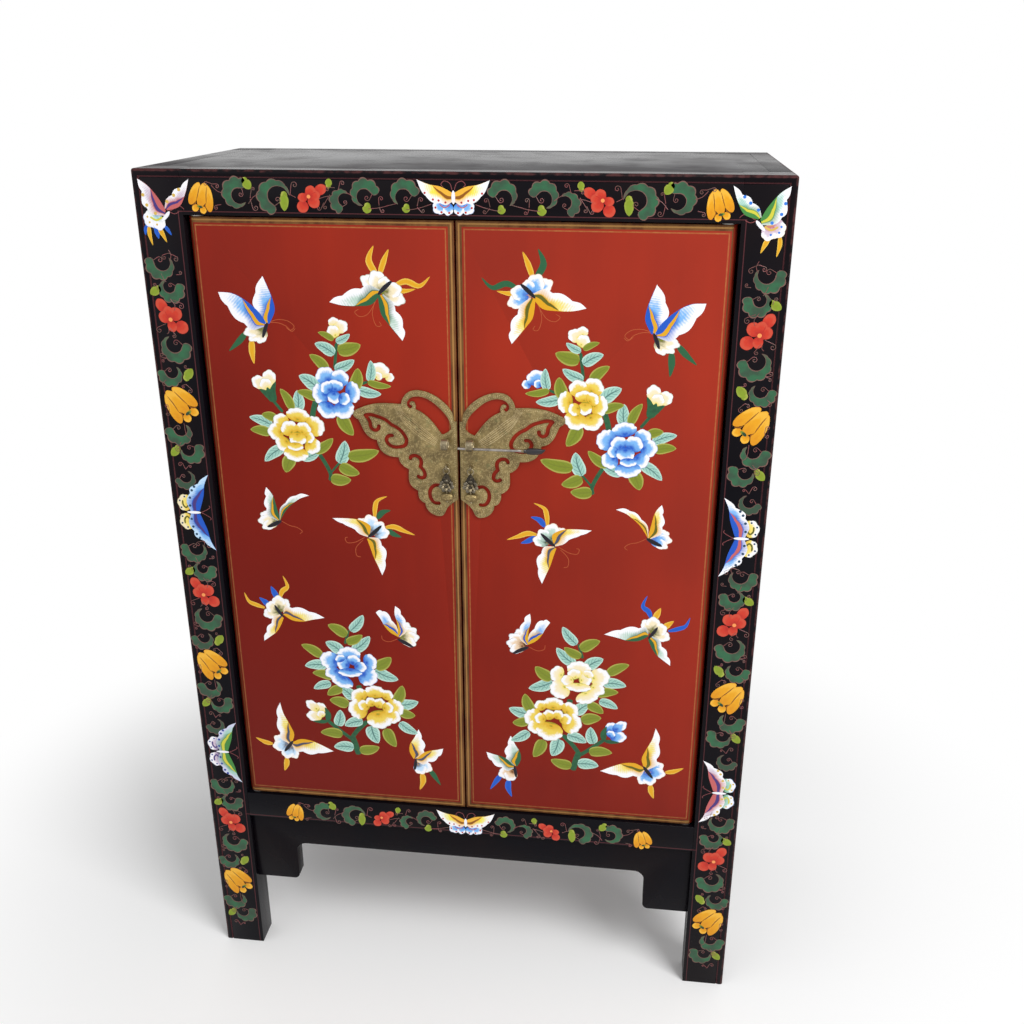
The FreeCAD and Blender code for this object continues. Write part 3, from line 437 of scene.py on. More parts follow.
@dataclass(frozen=True)
class StainedWood(Finish):
    """Plain boards stained reddish brown, with grain along one axis."""

    name: str
    along: Point
    pale: Colour = srgb(0x70422C)
    dark: Colour = srgb(0x422218)
    pore: Colour = srgb(0x22120E)

    def make(self) -> Material:
        """Build the material; the grain is noise stretched along the board."""
        s = Shader(self.name)
        grain = s.noise(22.0, 6.0, s.stretched(self.along))
        rings = ((grain * 26.0).sine() * 0.5 + 0.5) * 0.6 + grain * 0.4
        pores = s.noise(320.0, 2.0, s.stretched(self.along)).ramp(0.6, 0.72)
        colour = s.mix(rings, self.pale, self.dark)
        colour = s.mix(pores * 0.7, colour, self.pore)
        height = rings * 0.5 - pores
        return s.finish(Base_Color=colour, Roughness=0.62 + pores * 0.15,
                        Normal=s.bump(height, 0.0003, 0.5))


@dataclass(frozen=True)
class Metal(Finish):
    """A metal with a mottled patina, worn bright in places."""

    name: str
    base: Colour
    patina: Colour
    bright: Colour
    verdigris: Colour = srgb(0x5C7C54)
    green: float = 0.0
    stipple: float = 0.0
    relief: float = 0.0
    rough: float = 0.42
    metallic: float = 0.85

    def make(self) -> Material:
        """Build the material from stains, specks and punch marks."""
        s = Shader(self.name)
        stain = s.noise(60.0, 5.0)
        fine = s.noise(600.0, 3.0)
        marks = s.cells(720.0)
        colour = s.mix(stain.ramp(0.3, 0.7), self.base, self.patina)
        colour = s.mix(fine.ramp(0.52, 0.75) * 0.45, colour, self.bright)
        colour = s.mix(s.noise(190.0, 2.0).ramp(0.6, 0.72) * self.green, colour, self.verdigris)
        dots = marks.ramp(0.3, 0.12) * s.noise(110.0, 2.0).ramp(0.42, 0.58) * self.stipple
        colour = s.mix(dots * 0.55, colour, self.bright)
        worked = s.noise(420.0, 4.0)
        colour = s.mix(worked.ramp(0.48, 0.68) * self.relief * 0.28, colour, self.bright)
        height = fine * 0.35 + dots + worked * (self.relief * 2.5)
        return s.finish(Base_Color=colour, Metallic=self.metallic,
                        Roughness=self.rough + stain * 0.16 - dots * 0.1,
                        Normal=s.bump(height, 0.0002, 0.6))


@dataclass(frozen=True)
class DarkHorn(Finish):
    """Dark carved wood, polished by hands."""

    black: Colour = srgb(0x16141B)
    brown: Colour = srgb(0x342624)

    def make(self) -> Material:
        """Build the material with faint grain along the grip."""
        s = Shader("dark_grip")
        grain = s.noise(300.0, 4.0, s.stretched((0.25, 1.0, 1.0)))
        colour = s.mix(grain.ramp(0.4, 0.7) * 0.6, self.black, self.brown)
        return s.finish(Base_Color=colour, Roughness=0.28 + grain * 0.12,
                        Normal=s.bump(grain, 0.0002, 0.4))


class Brush(Enum):
    """The ways in which the decoration is painted; the value is a material's place."""

    PETAL = 0
    LEAF = 1
    WING = 2
    SCROLL = 3
    LINE = 4


@dataclass(frozen=True)
class Marks:
    """What the mesh says about a painted shape: places on it and its four colours."""

    along: Sock
    across: Sock
    heart: Sock
    ground: Sock
    rim: Sock
    band: Sock


@dataclass(frozen=True)
class Paint(Finish):
    """Thick oil paint of one kind of brush work, in the colours stored on the mesh."""

    brush: Brush

    def make(self) -> Material:
        """Build the material of this brush."""
        s = Shader(f"{self.brush.name.lower()}_paint")
        marks = Marks(*s.uv(), *(s.stored(name) for name in ("heart", "ground", "rim", "band")))
        colour = getattr(self, self.brush.name.lower())(s, marks)
        texture = s.noise(900.0, 3.0) * 0.6 + s.noise(250.0, 2.0) * 0.4
        return s.finish(Base_Color=colour, Roughness=0.42 + texture * 0.15,
                        Normal=s.bump(texture, 0.0002, 0.4), Specular_IOR_Level=0.3)

    def petal(self, s: Shader, m: Marks) -> Sock:
        """Deep colour at the foot, fading to a pale scalloped rim."""
        ragged = s.noise(420.0, 2.0) - 0.5
        colour = s.mix((m.along + ragged * 0.3).ramp(0.0, 0.5), m.heart, m.ground)
        colour = s.mix((m.along + ragged * 0.1).ramp(0.12, 0.02) * 0.7, colour, m.band)
        colour = s.mix((m.across + ragged * 0.3).ramp(0.5, 0.8), colour, m.rim)
        return s.mix((m.across + ragged * 0.06).ramp(0.93, 0.99) * 0.5, colour, m.band)

    def leaf(self, s: Shader, m: Marks) -> Sock:
        """A leaf with fine veins, small dots and a pale edge."""
        side = abs(m.across - 0.5) * 2.0
        rib = side.ramp(0.14, 0.06) * m.along.ramp(0.98, 0.8)
        slant = ((m.along - side * 0.28) * 40.0).sine().ramp(0.7, 0.95)
        dots = s.cells(430.0).ramp(0.24, 0.12)
        veins = rib.most(slant * 0.7 * side.ramp(0.85, 0.6)).most(dots * 0.8)
        colour = s.mix(s.noise(120.0, 2.0) * 0.5, m.ground, m.band)
        colour = s.mix(veins * 0.8, colour, m.heart)
        return s.mix(side.ramp(0.66, 0.9).most(m.along.ramp(0.86, 0.97)) * 0.8, colour, m.rim)

    def wing(self, s: Shader, m: Marks) -> Sock:
        """A crescent against the leading edge, and hatching that fades to a pale margin."""
        ragged = s.noise(380.0, 2.0) - 0.5
        hatch = (m.along * 150.0 + ragged * 4.0).sine() * 0.05
        reach = (m.along * (1 / 0.58)).least(1.0)
        depth = (m.across + ragged * 0.04) / ((1 - reach * reach) * 0.72).most(0.02)
        body = s.mix((m.across + ragged * 0.2 + hatch).ramp(0.42, 0.78), m.ground, m.rim)
        body = s.mix((m.along + ragged * 0.2 + hatch).ramp(0.5, 0.82), body, m.rim)
        glow = (depth + hatch).ramp(1.9, 1.0) * m.along.ramp(0.62, 0.4)
        body = s.mix(glow * 0.6, body, m.heart)
        colour = s.mix(depth.ramp(1.08, 0.94), body, m.heart)
        return s.mix(depth.near(0.74, 0.15, 0.06) * m.along.ramp(0.57, 0.52), colour, m.band)

    def scroll(self, s: Shader, m: Marks) -> Sock:
        """Blotched green inside a dull pink outline."""
        side = abs(m.across - 0.5) * 2.0
        colour = s.mix(s.noise(90.0, 3.0).ramp(0.35, 0.65), m.ground, m.heart)
        colour = s.mix(m.along.ramp(0.25, 0.0) * 0.5, colour, m.rim)
        edge = (side + (s.noise(300.0, 2.0) - 0.5) * 0.2).ramp(0.78, 0.9)
        edge = edge.most(m.along.ramp(0.03, 0.01)).most(m.along.ramp(0.96, 0.99))
        return s.mix(edge, colour, m.rim)

    def line(self, s: Shader, m: Marks) -> Sock:
        """One colour that lightens to its edges."""
        side = abs(m.across - 0.5) * 2.0
        colour = s.mix(s.noise(260.0, 2.0).ramp(0.35, 0.7) * 0.6, m.ground, m.heart)
        return s.mix(side.ramp(0.4, 1.0) * 0.5, colour, m.rim)


@dataclass(frozen=True)
class PaleFloor(Finish):
    """A plain pale floor that runs out to the same white as the background."""

    pale: Colour = (0.96, 0.96, 0.96)
    clear: float = 0.4
    gone: float = 0.85

    def make(self) -> Material:
        """Build the material; far from the cabinet, what the camera sees is plain white."""
        s = Shader("pale_floor")
        s.finish(Base_Color=self.pale, Roughness=0.9, Specular_IOR_Level=0.0,
                 Emission_Color=self.pale, Emission_Strength=0.06)
        far = s.add("VectorMath", {"operation": "LENGTH"}, {0: s.place()}, 1)
        seen = s.add("LightPath", output="Is Camera Ray")
        white = s.add("Emission", None, {"Color": (1.0, 1.0, 1.0)})
        bare = Sock(s.tree, s.surface.outputs[0])
        shown = s.add("MixShader", None,
                      {0: far.ramp(self.clear, self.gone) * seen, 1: bare, 2: white})
        plug(s.tree, s.tree.nodes["Material Output"].inputs["Surface"], shown)
        return s.material


# ---- lines and painted shapes

def curve(points: Line, count: int) -> Line:
    """Even steps along a smooth line through given points.

    Args:
        points: two or more points.
        count: how many steps.

    Returns:
        count + 1 points from the first to the last.
    """
    spans = len(points) - 1
    ends = [points[0], *points, points[-1]]
    line = []
    for step in range(count + 1):
        place = spans * step / count
        span = min(int(place), spans - 1)
        t = place - span
        p0, p1, p2, p3 = ends[span:span + 4]
        line.append(tuple(
            0.5 * (2 * b + (c - a) * t + (2 * a - 5 * b + 4 * c - d) * t * t
                   + (3 * b - a - 3 * c + d) * t ** 3)
            for a, b, c, d in zip(p0, p1, p2, p3)))
    return line


def normals(line: Line) -> Line:
    """The unit normal to the left of a line at each of its points."""
    result = []
    for index in range(len(line)):
        ahead = line[min(index + 1, len(line) - 1)]
        behind = line[max(index - 1, 0)]
        dx, dz = ahead[0] - behind[0], ahead[1] - behind[1]
        long = math.hypot(dx, dz) or 1.0
        result.append((-dz / long, dx / long))
    return result


class Taper(Enum):
    """How a brush stroke's width runs from its start (0) to its end (1)."""

    EVEN = "even"
    LEAF = "leaf"
    SPINDLE = "spindle"
    TAIL = "tail"
    COMMA = "comma"

    def at(self, u: float) -> float:
        """Share of the full width at u."""
        tip = min(1.0, math.sqrt(max(u, 0) * 14), math.sqrt(max(1 - u, 0) * 14))
        if self is Taper.EVEN:
            return tip
        if self is Taper.LEAF:
            return u ** 0.55 * (1 - u) ** 0.9 / 0.36 if 0 < u < 1 else 0.0
        if self is Taper.SPINDLE:
            return math.sin(math.pi * u) ** 0.6 if 0 < u < 1 else 0.0
        if self is Taper.TAIL:
            return min(1.0, u * 2.2 + 0.4) * min(1.0, max(1 - u, 0.0) * 2.0) ** 0.8
        return min(1.0, (u / 0.6) ** 0.8) * min(1.0, math.sqrt(max(1 - u, 0) * 9))


@dataclass(frozen=True)
class Coat:
    """The four colours that a painted shape is mixed from."""

    heart: Colour
    ground: Colour
    rim: Colour
    band: Colour = srgb(0x1E243C)


def plain(colour: Colour) -> Coat:
    """A coat of one colour."""
    return Coat(colour, colour, colour, colour)


@dataclass
class PaintLayer:
    """Painted shapes on one flat face, gathered into one mesh of thin closed shells.

    A shape is drawn for a face that spans drawn_low to drawn_high, and is fitted to the real
    face, which spans real_low to real_high.
    """

    name: str
    body: str
    slot: str
    side: int
    face_y: float
    drawn_low: Pair
    drawn_high: Pair
    real_low: Pair
    real_high: Pair
    shift: Pair = (0.0, 0.0)
    first_rise: float = 0.06
    rise_step: float = 0.012
    sink: float = 0.05
    points: list = field(default_factory=list)
    faces: list = field(default_factory=list)
    marks: list = field(default_factory=list)
    coats: list = field(default_factory=list)
    brushes: list = field(default_factory=list)
    order: int = 0

    def restart(self, shift: Pair = (0.0, 0.0)) -> None:
        """Begin a new motif, moved by a shift, whose first shape lies lowest."""
        self.order, self.shift = 0, shift

    def place(self, point: Pair, rise: float) -> Point:
        """A drawn point as a place on the cabinet, in metres."""
        x, z = (start + (value + move - low) / (high - low) * (end - start)
                for value, move, low, high, start, end in zip(
                    point, self.shift, self.drawn_low, self.drawn_high, self.real_low,
                    self.real_high))
        return self.side * x * MM, (self.face_y - rise) * MM, z * MM

    def shell(self, front: list[tuple[Pair, Pair]], faces: list[tuple[int, ...]],
              border: list[int], brush: Brush, coat: Coat) -> None:
        """Add one closed shell.

        Args:
            front: points of the painted side, each with its along and across marks.
            faces: faces among those points.
            border: the points of the outline, in order.
            brush: the brush work.
            coat: its colours.
        """
        rise = self.first_rise + self.rise_step * self.order
        self.order += 1
        start = len(self.points)
        self.points += [self.place(point, rise) for point, _ in front]
        back = len(self.points)
        self.points += [self.place(front[index][0], -self.sink) for index in border]
        self.marks += [mark for _, mark in front] + [front[index][1] for index in border]
        self.coats += [coat] * (len(front) + len(border))
        new = [tuple(start + index for index in face) for face in faces]
        count = len(border)
        for step in range(count):
            after = (step + 1) % count
            new.append((start + border[step], start + border[after], back + after, back + step))
        new.append(tuple(back + step for step in reversed(range(count))))
        self.faces += new
        self.brushes += [brush.value] * len(new)

    def blade(self, rows: list[Line], brush: Brush, coat: Coat) -> None:
        """Add a shape given as rows of points across it, from its start to its end."""
        wide = len(rows[0])
        front = [(point, (r / (len(rows) - 1), c / (wide - 1)))
                 for r, row in enumerate(rows) for c, point in enumerate(row)]
        faces = [(r * wide + c, r * wide + c + 1, (r + 1) * wide + c + 1, (r + 1) * wide + c)
                 for r in range(len(rows) - 1) for c in range(wide - 1)]
        last = (len(rows) - 1) * wide
        border = (list(range(wide)) + [r * wide + wide - 1 for r in range(1, len(rows))]
                  + [last + c for c in range(wide - 2, -1, -1)]
                  + [r * wide for r in range(len(rows) - 2, 0, -1)])
        self.shell(front, faces, border, brush, coat)

    def stroke(self, points: Line, width: float, taper: Taper, brush: Brush,
               coat: Coat, steps: int = 10, across: int = 3, scallops: int = 0,
               bump: float = 0.0, bump_side: int = -1) -> None:
        """Add a brush stroke along a line.

        Args:
            points: the line.
            width: full width.
            taper: how the width runs.
            brush: the brush work.
            coat: its colours.
            steps: steps along it.
            across: points across it.
            scallops: bumps along one edge.
            bump: height of those bumps.
            bump_side: 1 for bumps on the left edge, -1 for the right.
        """
        line = curve(points, steps)
        rows = []
        for index, ((x, z), (nx, nz)) in enumerate(zip(line, normals(line))):
            u = index / steps
            half = max(width / 2 * taper.at(u), 0.06)
            swell = bump * abs(math.sin(math.pi * scallops * u)) * taper.at(u)
            row = []
            for column in range(across):
                v = 2 * column / (across - 1) - 1
                reach = v * (half + (swell if v * bump_side > 0 else 0))
                row.append((x + nx * reach, z + nz * reach))
            rows.append(row)
        self.blade(rows, brush, coat)

    def disc(self, centre: Pair, along: float, across: float, turn: float, coat: Coat,
             lobes: int = 4, frill: float = 0.13, segments: int = 26) -> None:
        """Add a rounded petal with a scalloped outer edge.

        Args:
            centre: its middle.
            along: its length from foot to rim.
            across: its breadth.
            turn: direction of its rim, in degrees.
            coat: its colours.
            lobes: scallops of the rim.
            frill: depth of the scallops, as a share of the size.
            segments: points of the outline.
        """
        cos, sin = turned((1.0, 0.0), turn)
        rings = (0.4, 0.68, 0.86, 1.0)
        foot = -0.3 * along
        front = [((centre[0] + foot * cos, centre[1] + foot * sin), (0.0, 0.0))]
        for ring in rings:
            for step, (ahead, aside) in enumerate(around(segments)):
                outer = min(1.0, max(0.0, ahead + 0.35) * 2.2)
                wave = abs(math.cos(lobes * 2 * math.pi * step / segments / 1.3))
                notch = 1 - frill * outer * (1 - wave)
                a = foot + (ahead * along / 2 * notch - foot) * ring
                b = aside * across / 2 * notch * ring
                rim = ring * min(1.0, max(0.0, ahead + 0.55) * 1.3)
                front.append(((centre[0] + a * cos - b * sin, centre[1] + a * sin + b * cos),
                              (min(1.0, max(0.0, a / along + 0.5)), rim)))
        faces = [(0, 1 + step, 1 + (step + 1) % segments) for step in range(segments)]
        for ring in range(len(rings) - 1):
            low, high = 1 + ring * segments, 1 + (ring + 1) * segments
            faces += [(low + step, high + step, high + (step + 1) % segments,
                       low + (step + 1) % segments) for step in range(segments)]
        border = [1 + (len(rings) - 1) * segments + step for step in range(segments)]
        self.shell(front, faces, border, Brush.PETAL, coat)

    def build(self) -> Piece:
        """Make the mesh, with its marks and colours, and let it ride on its body."""
        mesh = new_mesh(self.name, self.points, self.faces,
                        [Paint(brush).material() for brush in Brush], self.brushes)
        corners = [loop.vertex_index for loop in mesh.loops]
        uv = mesh.uv_layers.new(name="brush")
        uv.data.foreach_set("uv", [value for c in corners for value in self.marks[c]])
        for part in ("heart", "ground", "rim", "band"):
            store = mesh.color_attributes.new(part, "FLOAT_COLOR", "POINT")
            store.data.foreach_set("color", [v for coat in self.coats
                                             for v in (*getattr(coat, part), 1.0)])
        return settle(self.name, mesh, self.body)


def settle(name: str, mesh: Mesh, body: str,
           smooth_below: float | None = None) -> Piece:
    """Turn a mesh's faces outwards and make it a piece that rides on a body.

    Args:
        name: the piece's name.
        mesh: its mesh, in place, in metres.
        body: the body that carries it.
        smooth_below: edges flatter than this many degrees are shaded smooth.

    Returns:
        The piece.
    """
    shape = bmesh.new()
    shape.from_mesh(mesh)
    bmesh.ops.recalc_face_normals(shape, faces=shape.faces)
    shape.to_mesh(mesh)
    shape.free()
    if smooth_below is not None:
        mesh.shade_smooth()
        mesh.set_sharp_from_angle(angle=math.radians(smooth_below))
    mesh.update()
    piece = linked(name, mesh)
    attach(piece, body)
    log.info("%s: %d faces on %s", name, len(mesh.polygons), body)
    return piece


# ---- colours of the painting

WHITE = srgb(0xF4F4F8)
CREAM = srgb(0xF0E2BE)
LAVENDER = srgb(0xCDD0E8)
SKY = srgb(0x78B2EC)
BLUE = srgb(0x347AD8)
DEEP_BLUE = srgb(0x1854BE)
NAVY = srgb(0x22244E)
GOLD = srgb(0xD6A416)
YELLOW = srgb(0xEEDA70)
AMBER = srgb(0xDCA218)
OLIVE = srgb(0x7E8A24)
OLIVE_EDGE = srgb(0xB0AC54)
AQUA = srgb(0xA0CCBE)
AQUA_EDGE = srgb(0xC4E0D2)
TEAL = srgb(0x2C5C5C)
STEM_GREEN = srgb(0x245C3A)
DARK_GREEN = srgb(0x1E3E2C)
BLACK = srgb(0x121014)
SCROLL_GREEN = srgb(0x2E6242)
SCROLL_DIM = srgb(0x324A38)
SCROLL_LINE = srgb(0x76544C)
RED = srgb(0xC63622)
RED_DEEP = srgb(0xB2281E)
RED_EDGE = srgb(0xC84832)
ORANGE_DOT = srgb(0xEE9654)
TULIP_YELLOW = srgb(0xE29E14)
TULIP_DEEP = srgb(0xD88E0E)
TULIP_EDGE = srgb(0xECB238)
LIME = srgb(0x809824)
LIME_EDGE = srgb(0xA0A646)
PINK = srgb(0x844446)
RUST = srgb(0xB2542C)
BROWN = srgb(0x8C5414)
PURPLE = srgb(0x463478)
ROSE = srgb(0xBE6060)

BLUE_PETAL = Coat(DEEP_BLUE, SKY, WHITE, DEEP_BLUE)
YELLOW_PETAL = Coat(GOLD, srgb(0xE8CC54), WHITE, OLIVE)
CREAM_PETAL = Coat(YELLOW, CREAM, WHITE, OLIVE)
STEM = Coat(DARK_GREEN, STEM_GREEN, STEM_GREEN)
BODY = Coat(BLACK, BLACK, NAVY)
PALE_BODY = Coat(WHITE, WHITE, LAVENDER)
FEELER = plain(PINK)
GOLD_FEELER = plain(RUST)
YELLOW_TAIL = Coat(AMBER, AMBER, YELLOW)
GREEN_TAIL = plain(STEM_GREEN)
BLUE_TAIL = Coat(DEEP_BLUE, DEEP_BLUE, BLUE)


# ---- motifs

class LeafKind(Enum):
    """The two leaves of the peonies."""

    AQUA = Coat(TEAL, AQUA, AQUA_EDGE, srgb(0x88BAB0))
    OLIVE = Coat(srgb(0x707A22), OLIVE, OLIVE_EDGE, srgb(0x707E20))


@dataclass(frozen=True)
class Leaf:
    """A pointed leaf, drawn from its base to its tip."""

    base: Pair
    tip: Pair
    width: float
    kind: LeafKind
    bow: float = 0.06

    def paint(self, layer: PaintLayer) -> None:
        """Draw the leaf, its midrib bowed a little to one side."""
        (x0, z0), (x1, z1) = self.base, self.tip
        middle = ((x0 + x1) / 2 - (z1 - z0) * self.bow, (z0 + z1) / 2 + (x1 - x0) * self.bow)
        layer.stroke([self.base, middle, self.tip], self.width, Taper.LEAF, Brush.LEAF,
                     self.kind.value, steps=12, across=5)


def strokes(layer: PaintLayer, lines: tuple[Stroke, ...], taper: Taper, coat: Coat) -> None:
    """Draw several plain strokes, each a line with its width."""
    for line, width in lines:
        layer.stroke(line, width, taper, Brush.LINE, coat, steps=4 * len(line))


@dataclass(frozen=True)
class Petal:
    """A petal at a place, as long and broad as given; its rim turns away from the heart."""

    x: float
    z: float
    along: float
    across: float
    turn: float | None = None

    def paint(self, layer: PaintLayer, heart: Pair, coat: Coat) -> None:
        """Draw the petal of a flower whose heart is there."""
        turn = self.turn
        if turn is None:
            turn = math.degrees(math.atan2(self.z - heart[1], self.x - heart[0]))
        layer.disc((self.x, self.z), self.along, self.across, turn, coat,
                   lobes=4 if self.across < 22 else 6)


@dataclass(frozen=True)
class Bloom:
    """A bud or a peony: the place of its heart, and its petals from the lowest up."""

    heart: Pair
    petals: tuple[Petal, ...]

    def paint(self, layer: PaintLayer, coat: Coat) -> None:
        """Draw the petals."""
        for petal in self.petals:
            petal.paint(layer, self.heart, coat)


def bloom(x: float, z: float, *petals: tuple[float, ...]) -> Bloom:
    """A bloom with its heart at x, z, and the numbers of its petals."""
    return Bloom((x, z), tuple(Petal(*petal) for petal in petals))


def leaves(kind: LeafKind, *rows: tuple[float, ...]) -> tuple[Leaf, ...]:
    """Leaves of one kind, each from the base's place, the tip's place and the width."""
    return tuple(Leaf((x0, z0), (x1, z1), width, kind) for x0, z0, x1, z1, width in rows)


@dataclass(frozen=True)
class PeonyGroup:
    """Buds and peonies with their leaves and stems."""

    stems: tuple[Stroke, ...]
    leaves: tuple[Leaf, ...]
    buds: tuple[Bloom, ...]
    sepals: tuple[Leaf, ...]
    calyxes: tuple[Stroke, ...]
    flowers: tuple[Bloom, ...]

    def paint(self, layer: PaintLayer, coats: tuple[Coat, ...], shift: Pair) -> None:
        """Draw the group.

        Args:
            layer: the door's layer.
            coats: colours of each bud and then of each flower.
            shift: how far the group is moved.
        """
        layer.restart(shift)
        strokes(layer, self.stems, Taper.EVEN, STEM)
        for leaf in self.leaves:
            leaf.paint(layer)
        for bud, coat in zip(self.buds, coats):
            bud.paint(layer, coat)
        for sepal in self.sepals:
            sepal.paint(layer)
        strokes(layer, self.calyxes, Taper.TAIL, STEM)
        for flower, coat in zip(self.flowers, coats[len(self.buds):]):
            flower.paint(layer, coat)


def dot(layer: PaintLayer, place: Pair, size: float, colour: Colour) -> None:
    """Paint one small round dot."""
    layer.disc(place, size, size, 0, plain(colour), segments=10, frill=0.0)


@dataclass(frozen=True)
class Plumage:
    """The colours of one butterfly."""

    wing: Coat
    hind: Coat
    tails: Coat = YELLOW_TAIL
    other_tails: Coat = GREEN_TAIL
    dots: Colour = BLACK
    ring: Colour = OLIVE
    body: Coat = BODY
    feeler: Coat = GOLD_FEELER
    dot_size: float = 2.8


@dataclass(frozen=True)
class Wing:
    """A wing between its leading edge and its lobed trailing edge.

    Both run from the root, and the leading edge goes on to the tip. The lobes meet in notches
    at even shares of the trailing edge. Dots lie inside the margin at the given shares of the
    wing's length.
    """

    lead: Line
    trail: Line
    slim: float = 0.72
    bump: float = 2.6
    dots: tuple[float, ...] = ()
    lobes: int = 3

    def paint(self, layer: PaintLayer, colours: Plumage, steps: int = 24,
              across: int = 7) -> None:
        """Draw the wing, and its dots if it has any."""
        trail = [*self.trail, self.lead[-1]]
        rows = []
        for index, (a, b) in enumerate(zip(curve(self.lead, steps), curve(trail, steps))):
            u = index / steps
            reach = math.hypot(b[0] - a[0], b[1] - a[1]) or 1.0
            swell = self.bump * abs(math.sin(math.pi * self.lobes * u)) * (1 - u ** 3)
            grow = self.slim + swell * min(1.0, u * 6) / reach
            rows.append([(a[0] + (b[0] - a[0]) * grow * c / (across - 1),
                          a[1] + (b[1] - a[1]) * grow * c / (across - 1))
                         for c in range(across)])
        layer.blade(rows, Brush.WING, colours.wing)
        for share in self.dots:
            dot(layer, rows[round(steps * share)][across - 2], colours.dot_size, colours.dots)


@dataclass(frozen=True)
class Butterfly:
    """A butterfly: wings, round hind lobes, a body, tails and feelers, all given one by one.

    A fanned butterfly's hind lobes are drawn out to the root of its wings.
    """

    wings: tuple[Wing, ...]
    hind: tuple[Petal, ...]
    body: Line
    body_width: float = 3.6
    tails: tuple[Stroke, ...] = ()
    other_tails: tuple[Stroke, ...] = ()
    feelers: tuple[Line, ...] = ()
    root: Pair = (0.0, 0.0)
    rings: tuple[Stroke, ...] = ()
    spots: tuple[Pair, ...] = ()
    fanned: bool = True

    def fan(self, petal: Petal) -> Petal:
        """A hind lobe drawn out to the root."""
        dx, dz = petal.x - self.root[0], petal.z - self.root[1]
        far = math.hypot(dx, dz)
        long = far + petal.along / 2
        return replace(petal, x=self.root[0] + dx * long / far / 2,
                       z=self.root[1] + dz * long / far / 2, along=long * 1.05,
                       across=petal.across * 1.25)

    def paint(self, layer: PaintLayer, colours: Plumage) -> None:
        """Draw tails and feelers first, then hind lobes, wings and body."""
        layer.restart()
        strokes(layer, self.other_tails, Taper.TAIL, colours.other_tails)
        strokes(layer, self.tails, Taper.TAIL, colours.tails)
        strokes(layer, tuple((line, 0.55) for line in self.feelers), Taper.EVEN, colours.feeler)
        for petal in self.hind:
            petal = self.fan(petal) if self.fanned else petal
            petal.paint(layer, self.root, colours.hind)
        strokes(layer, self.rings, Taper.EVEN, plain(colours.ring))
        for spot in self.spots:
            dot(layer, spot, 2.0, colours.dots)
        for wing in self.wings:
            wing.paint(layer, colours)
        if self.body:
            strokes(layer, ((self.body, self.body_width),), Taper.SPINDLE, colours.body)


@dataclass(frozen=True)
class Curl:
    """A thin tendril that leaves a stem and winds up into a small spiral."""

    stem: Pair
    x: float
    z: float
    radius: float = 2.4
    way: int = 1

    def line(self) -> Line:
        """The tendril's line; way is 1 where it winds against the clock."""
        dx, dz = self.stem[0] - self.x, self.stem[1] - self.z
        far = max(math.hypot(dx, dz), self.radius * 1.01)
        first = math.atan2(dz, dx) + self.way * math.acos(self.radius / far)
        points = [self.stem]
        for step in range(13):
            angle = first + self.way * 2.4 * math.pi * step / 12
            reach = self.radius * (1 - 0.07 * step)
            points.append((self.x + reach * math.cos(angle), self.z + reach * math.sin(angle)))
        return points


@dataclass(frozen=True)
class Scroll:
    """A scroll leaf around a round hollow: pointed at its stem, swelling to a round head.

    It is scalloped on its outer side, and a curl winds up in its hollow.
    """

    x: float
    z: float
    hollow: float
    start: float
    sweep: float
    width: float
    flare: float = 2.5
    dim: bool = False
    scallop: float = 36.0
    widest: float = 0.88
    bumps: float = 0.26
    curl_out: float = 0.42
    curl_radius: float = 0.44

    @property
    def way(self) -> int:
        """1 where it winds against the clock, or -1."""
        return 1 if self.sweep > 0 else -1

    def spot(self, share: float, out: float, beyond: float = 0.0) -> Pair:
        """A place so far out from the hollow's middle.

        Args:
            share: share of the sweep at which it lies.
            out: distance from the middle.
            beyond: degrees further on.

        Returns:
            The place.
        """
        angle = math.radians(self.start + self.sweep * share + self.way * beyond)
        return self.x + out * math.cos(angle), self.z + out * math.sin(angle)

    def paint(self, layer: PaintLayer, shift: Pair) -> None:
        """Draw the leaf from its stem to its head."""
        layer.restart(shift)
        count = max(6, round(abs(self.sweep) / self.scallop))
        points = []
        for share in (step / count for step in range(count + 1)):
            out = self.hollow + self.width / 2 * Taper.COMMA.at(min(share, self.widest))
            points.append(self.spot(share, out + self.flare * (1 - share) ** 2))
        coat = Coat(SCROLL_DIM, SCROLL_DIM if self.dim else SCROLL_GREEN, SCROLL_LINE)
        layer.stroke(points, self.width, Taper.COMMA, Brush.SCROLL, coat, steps=6 * count,
                     across=5, scallops=count, bump=self.width * self.bumps,
                     bump_side=-self.way)

    def curl(self) -> Curl:
        """The curl in the hollow, which springs from the head."""
        x, z = self.spot(1.0, self.curl_out * self.hollow, 40.0)
        stem = self.spot(0.97, self.hollow + 1.0)
        return Curl(stem, x, z, self.curl_radius * self.hollow, self.way)


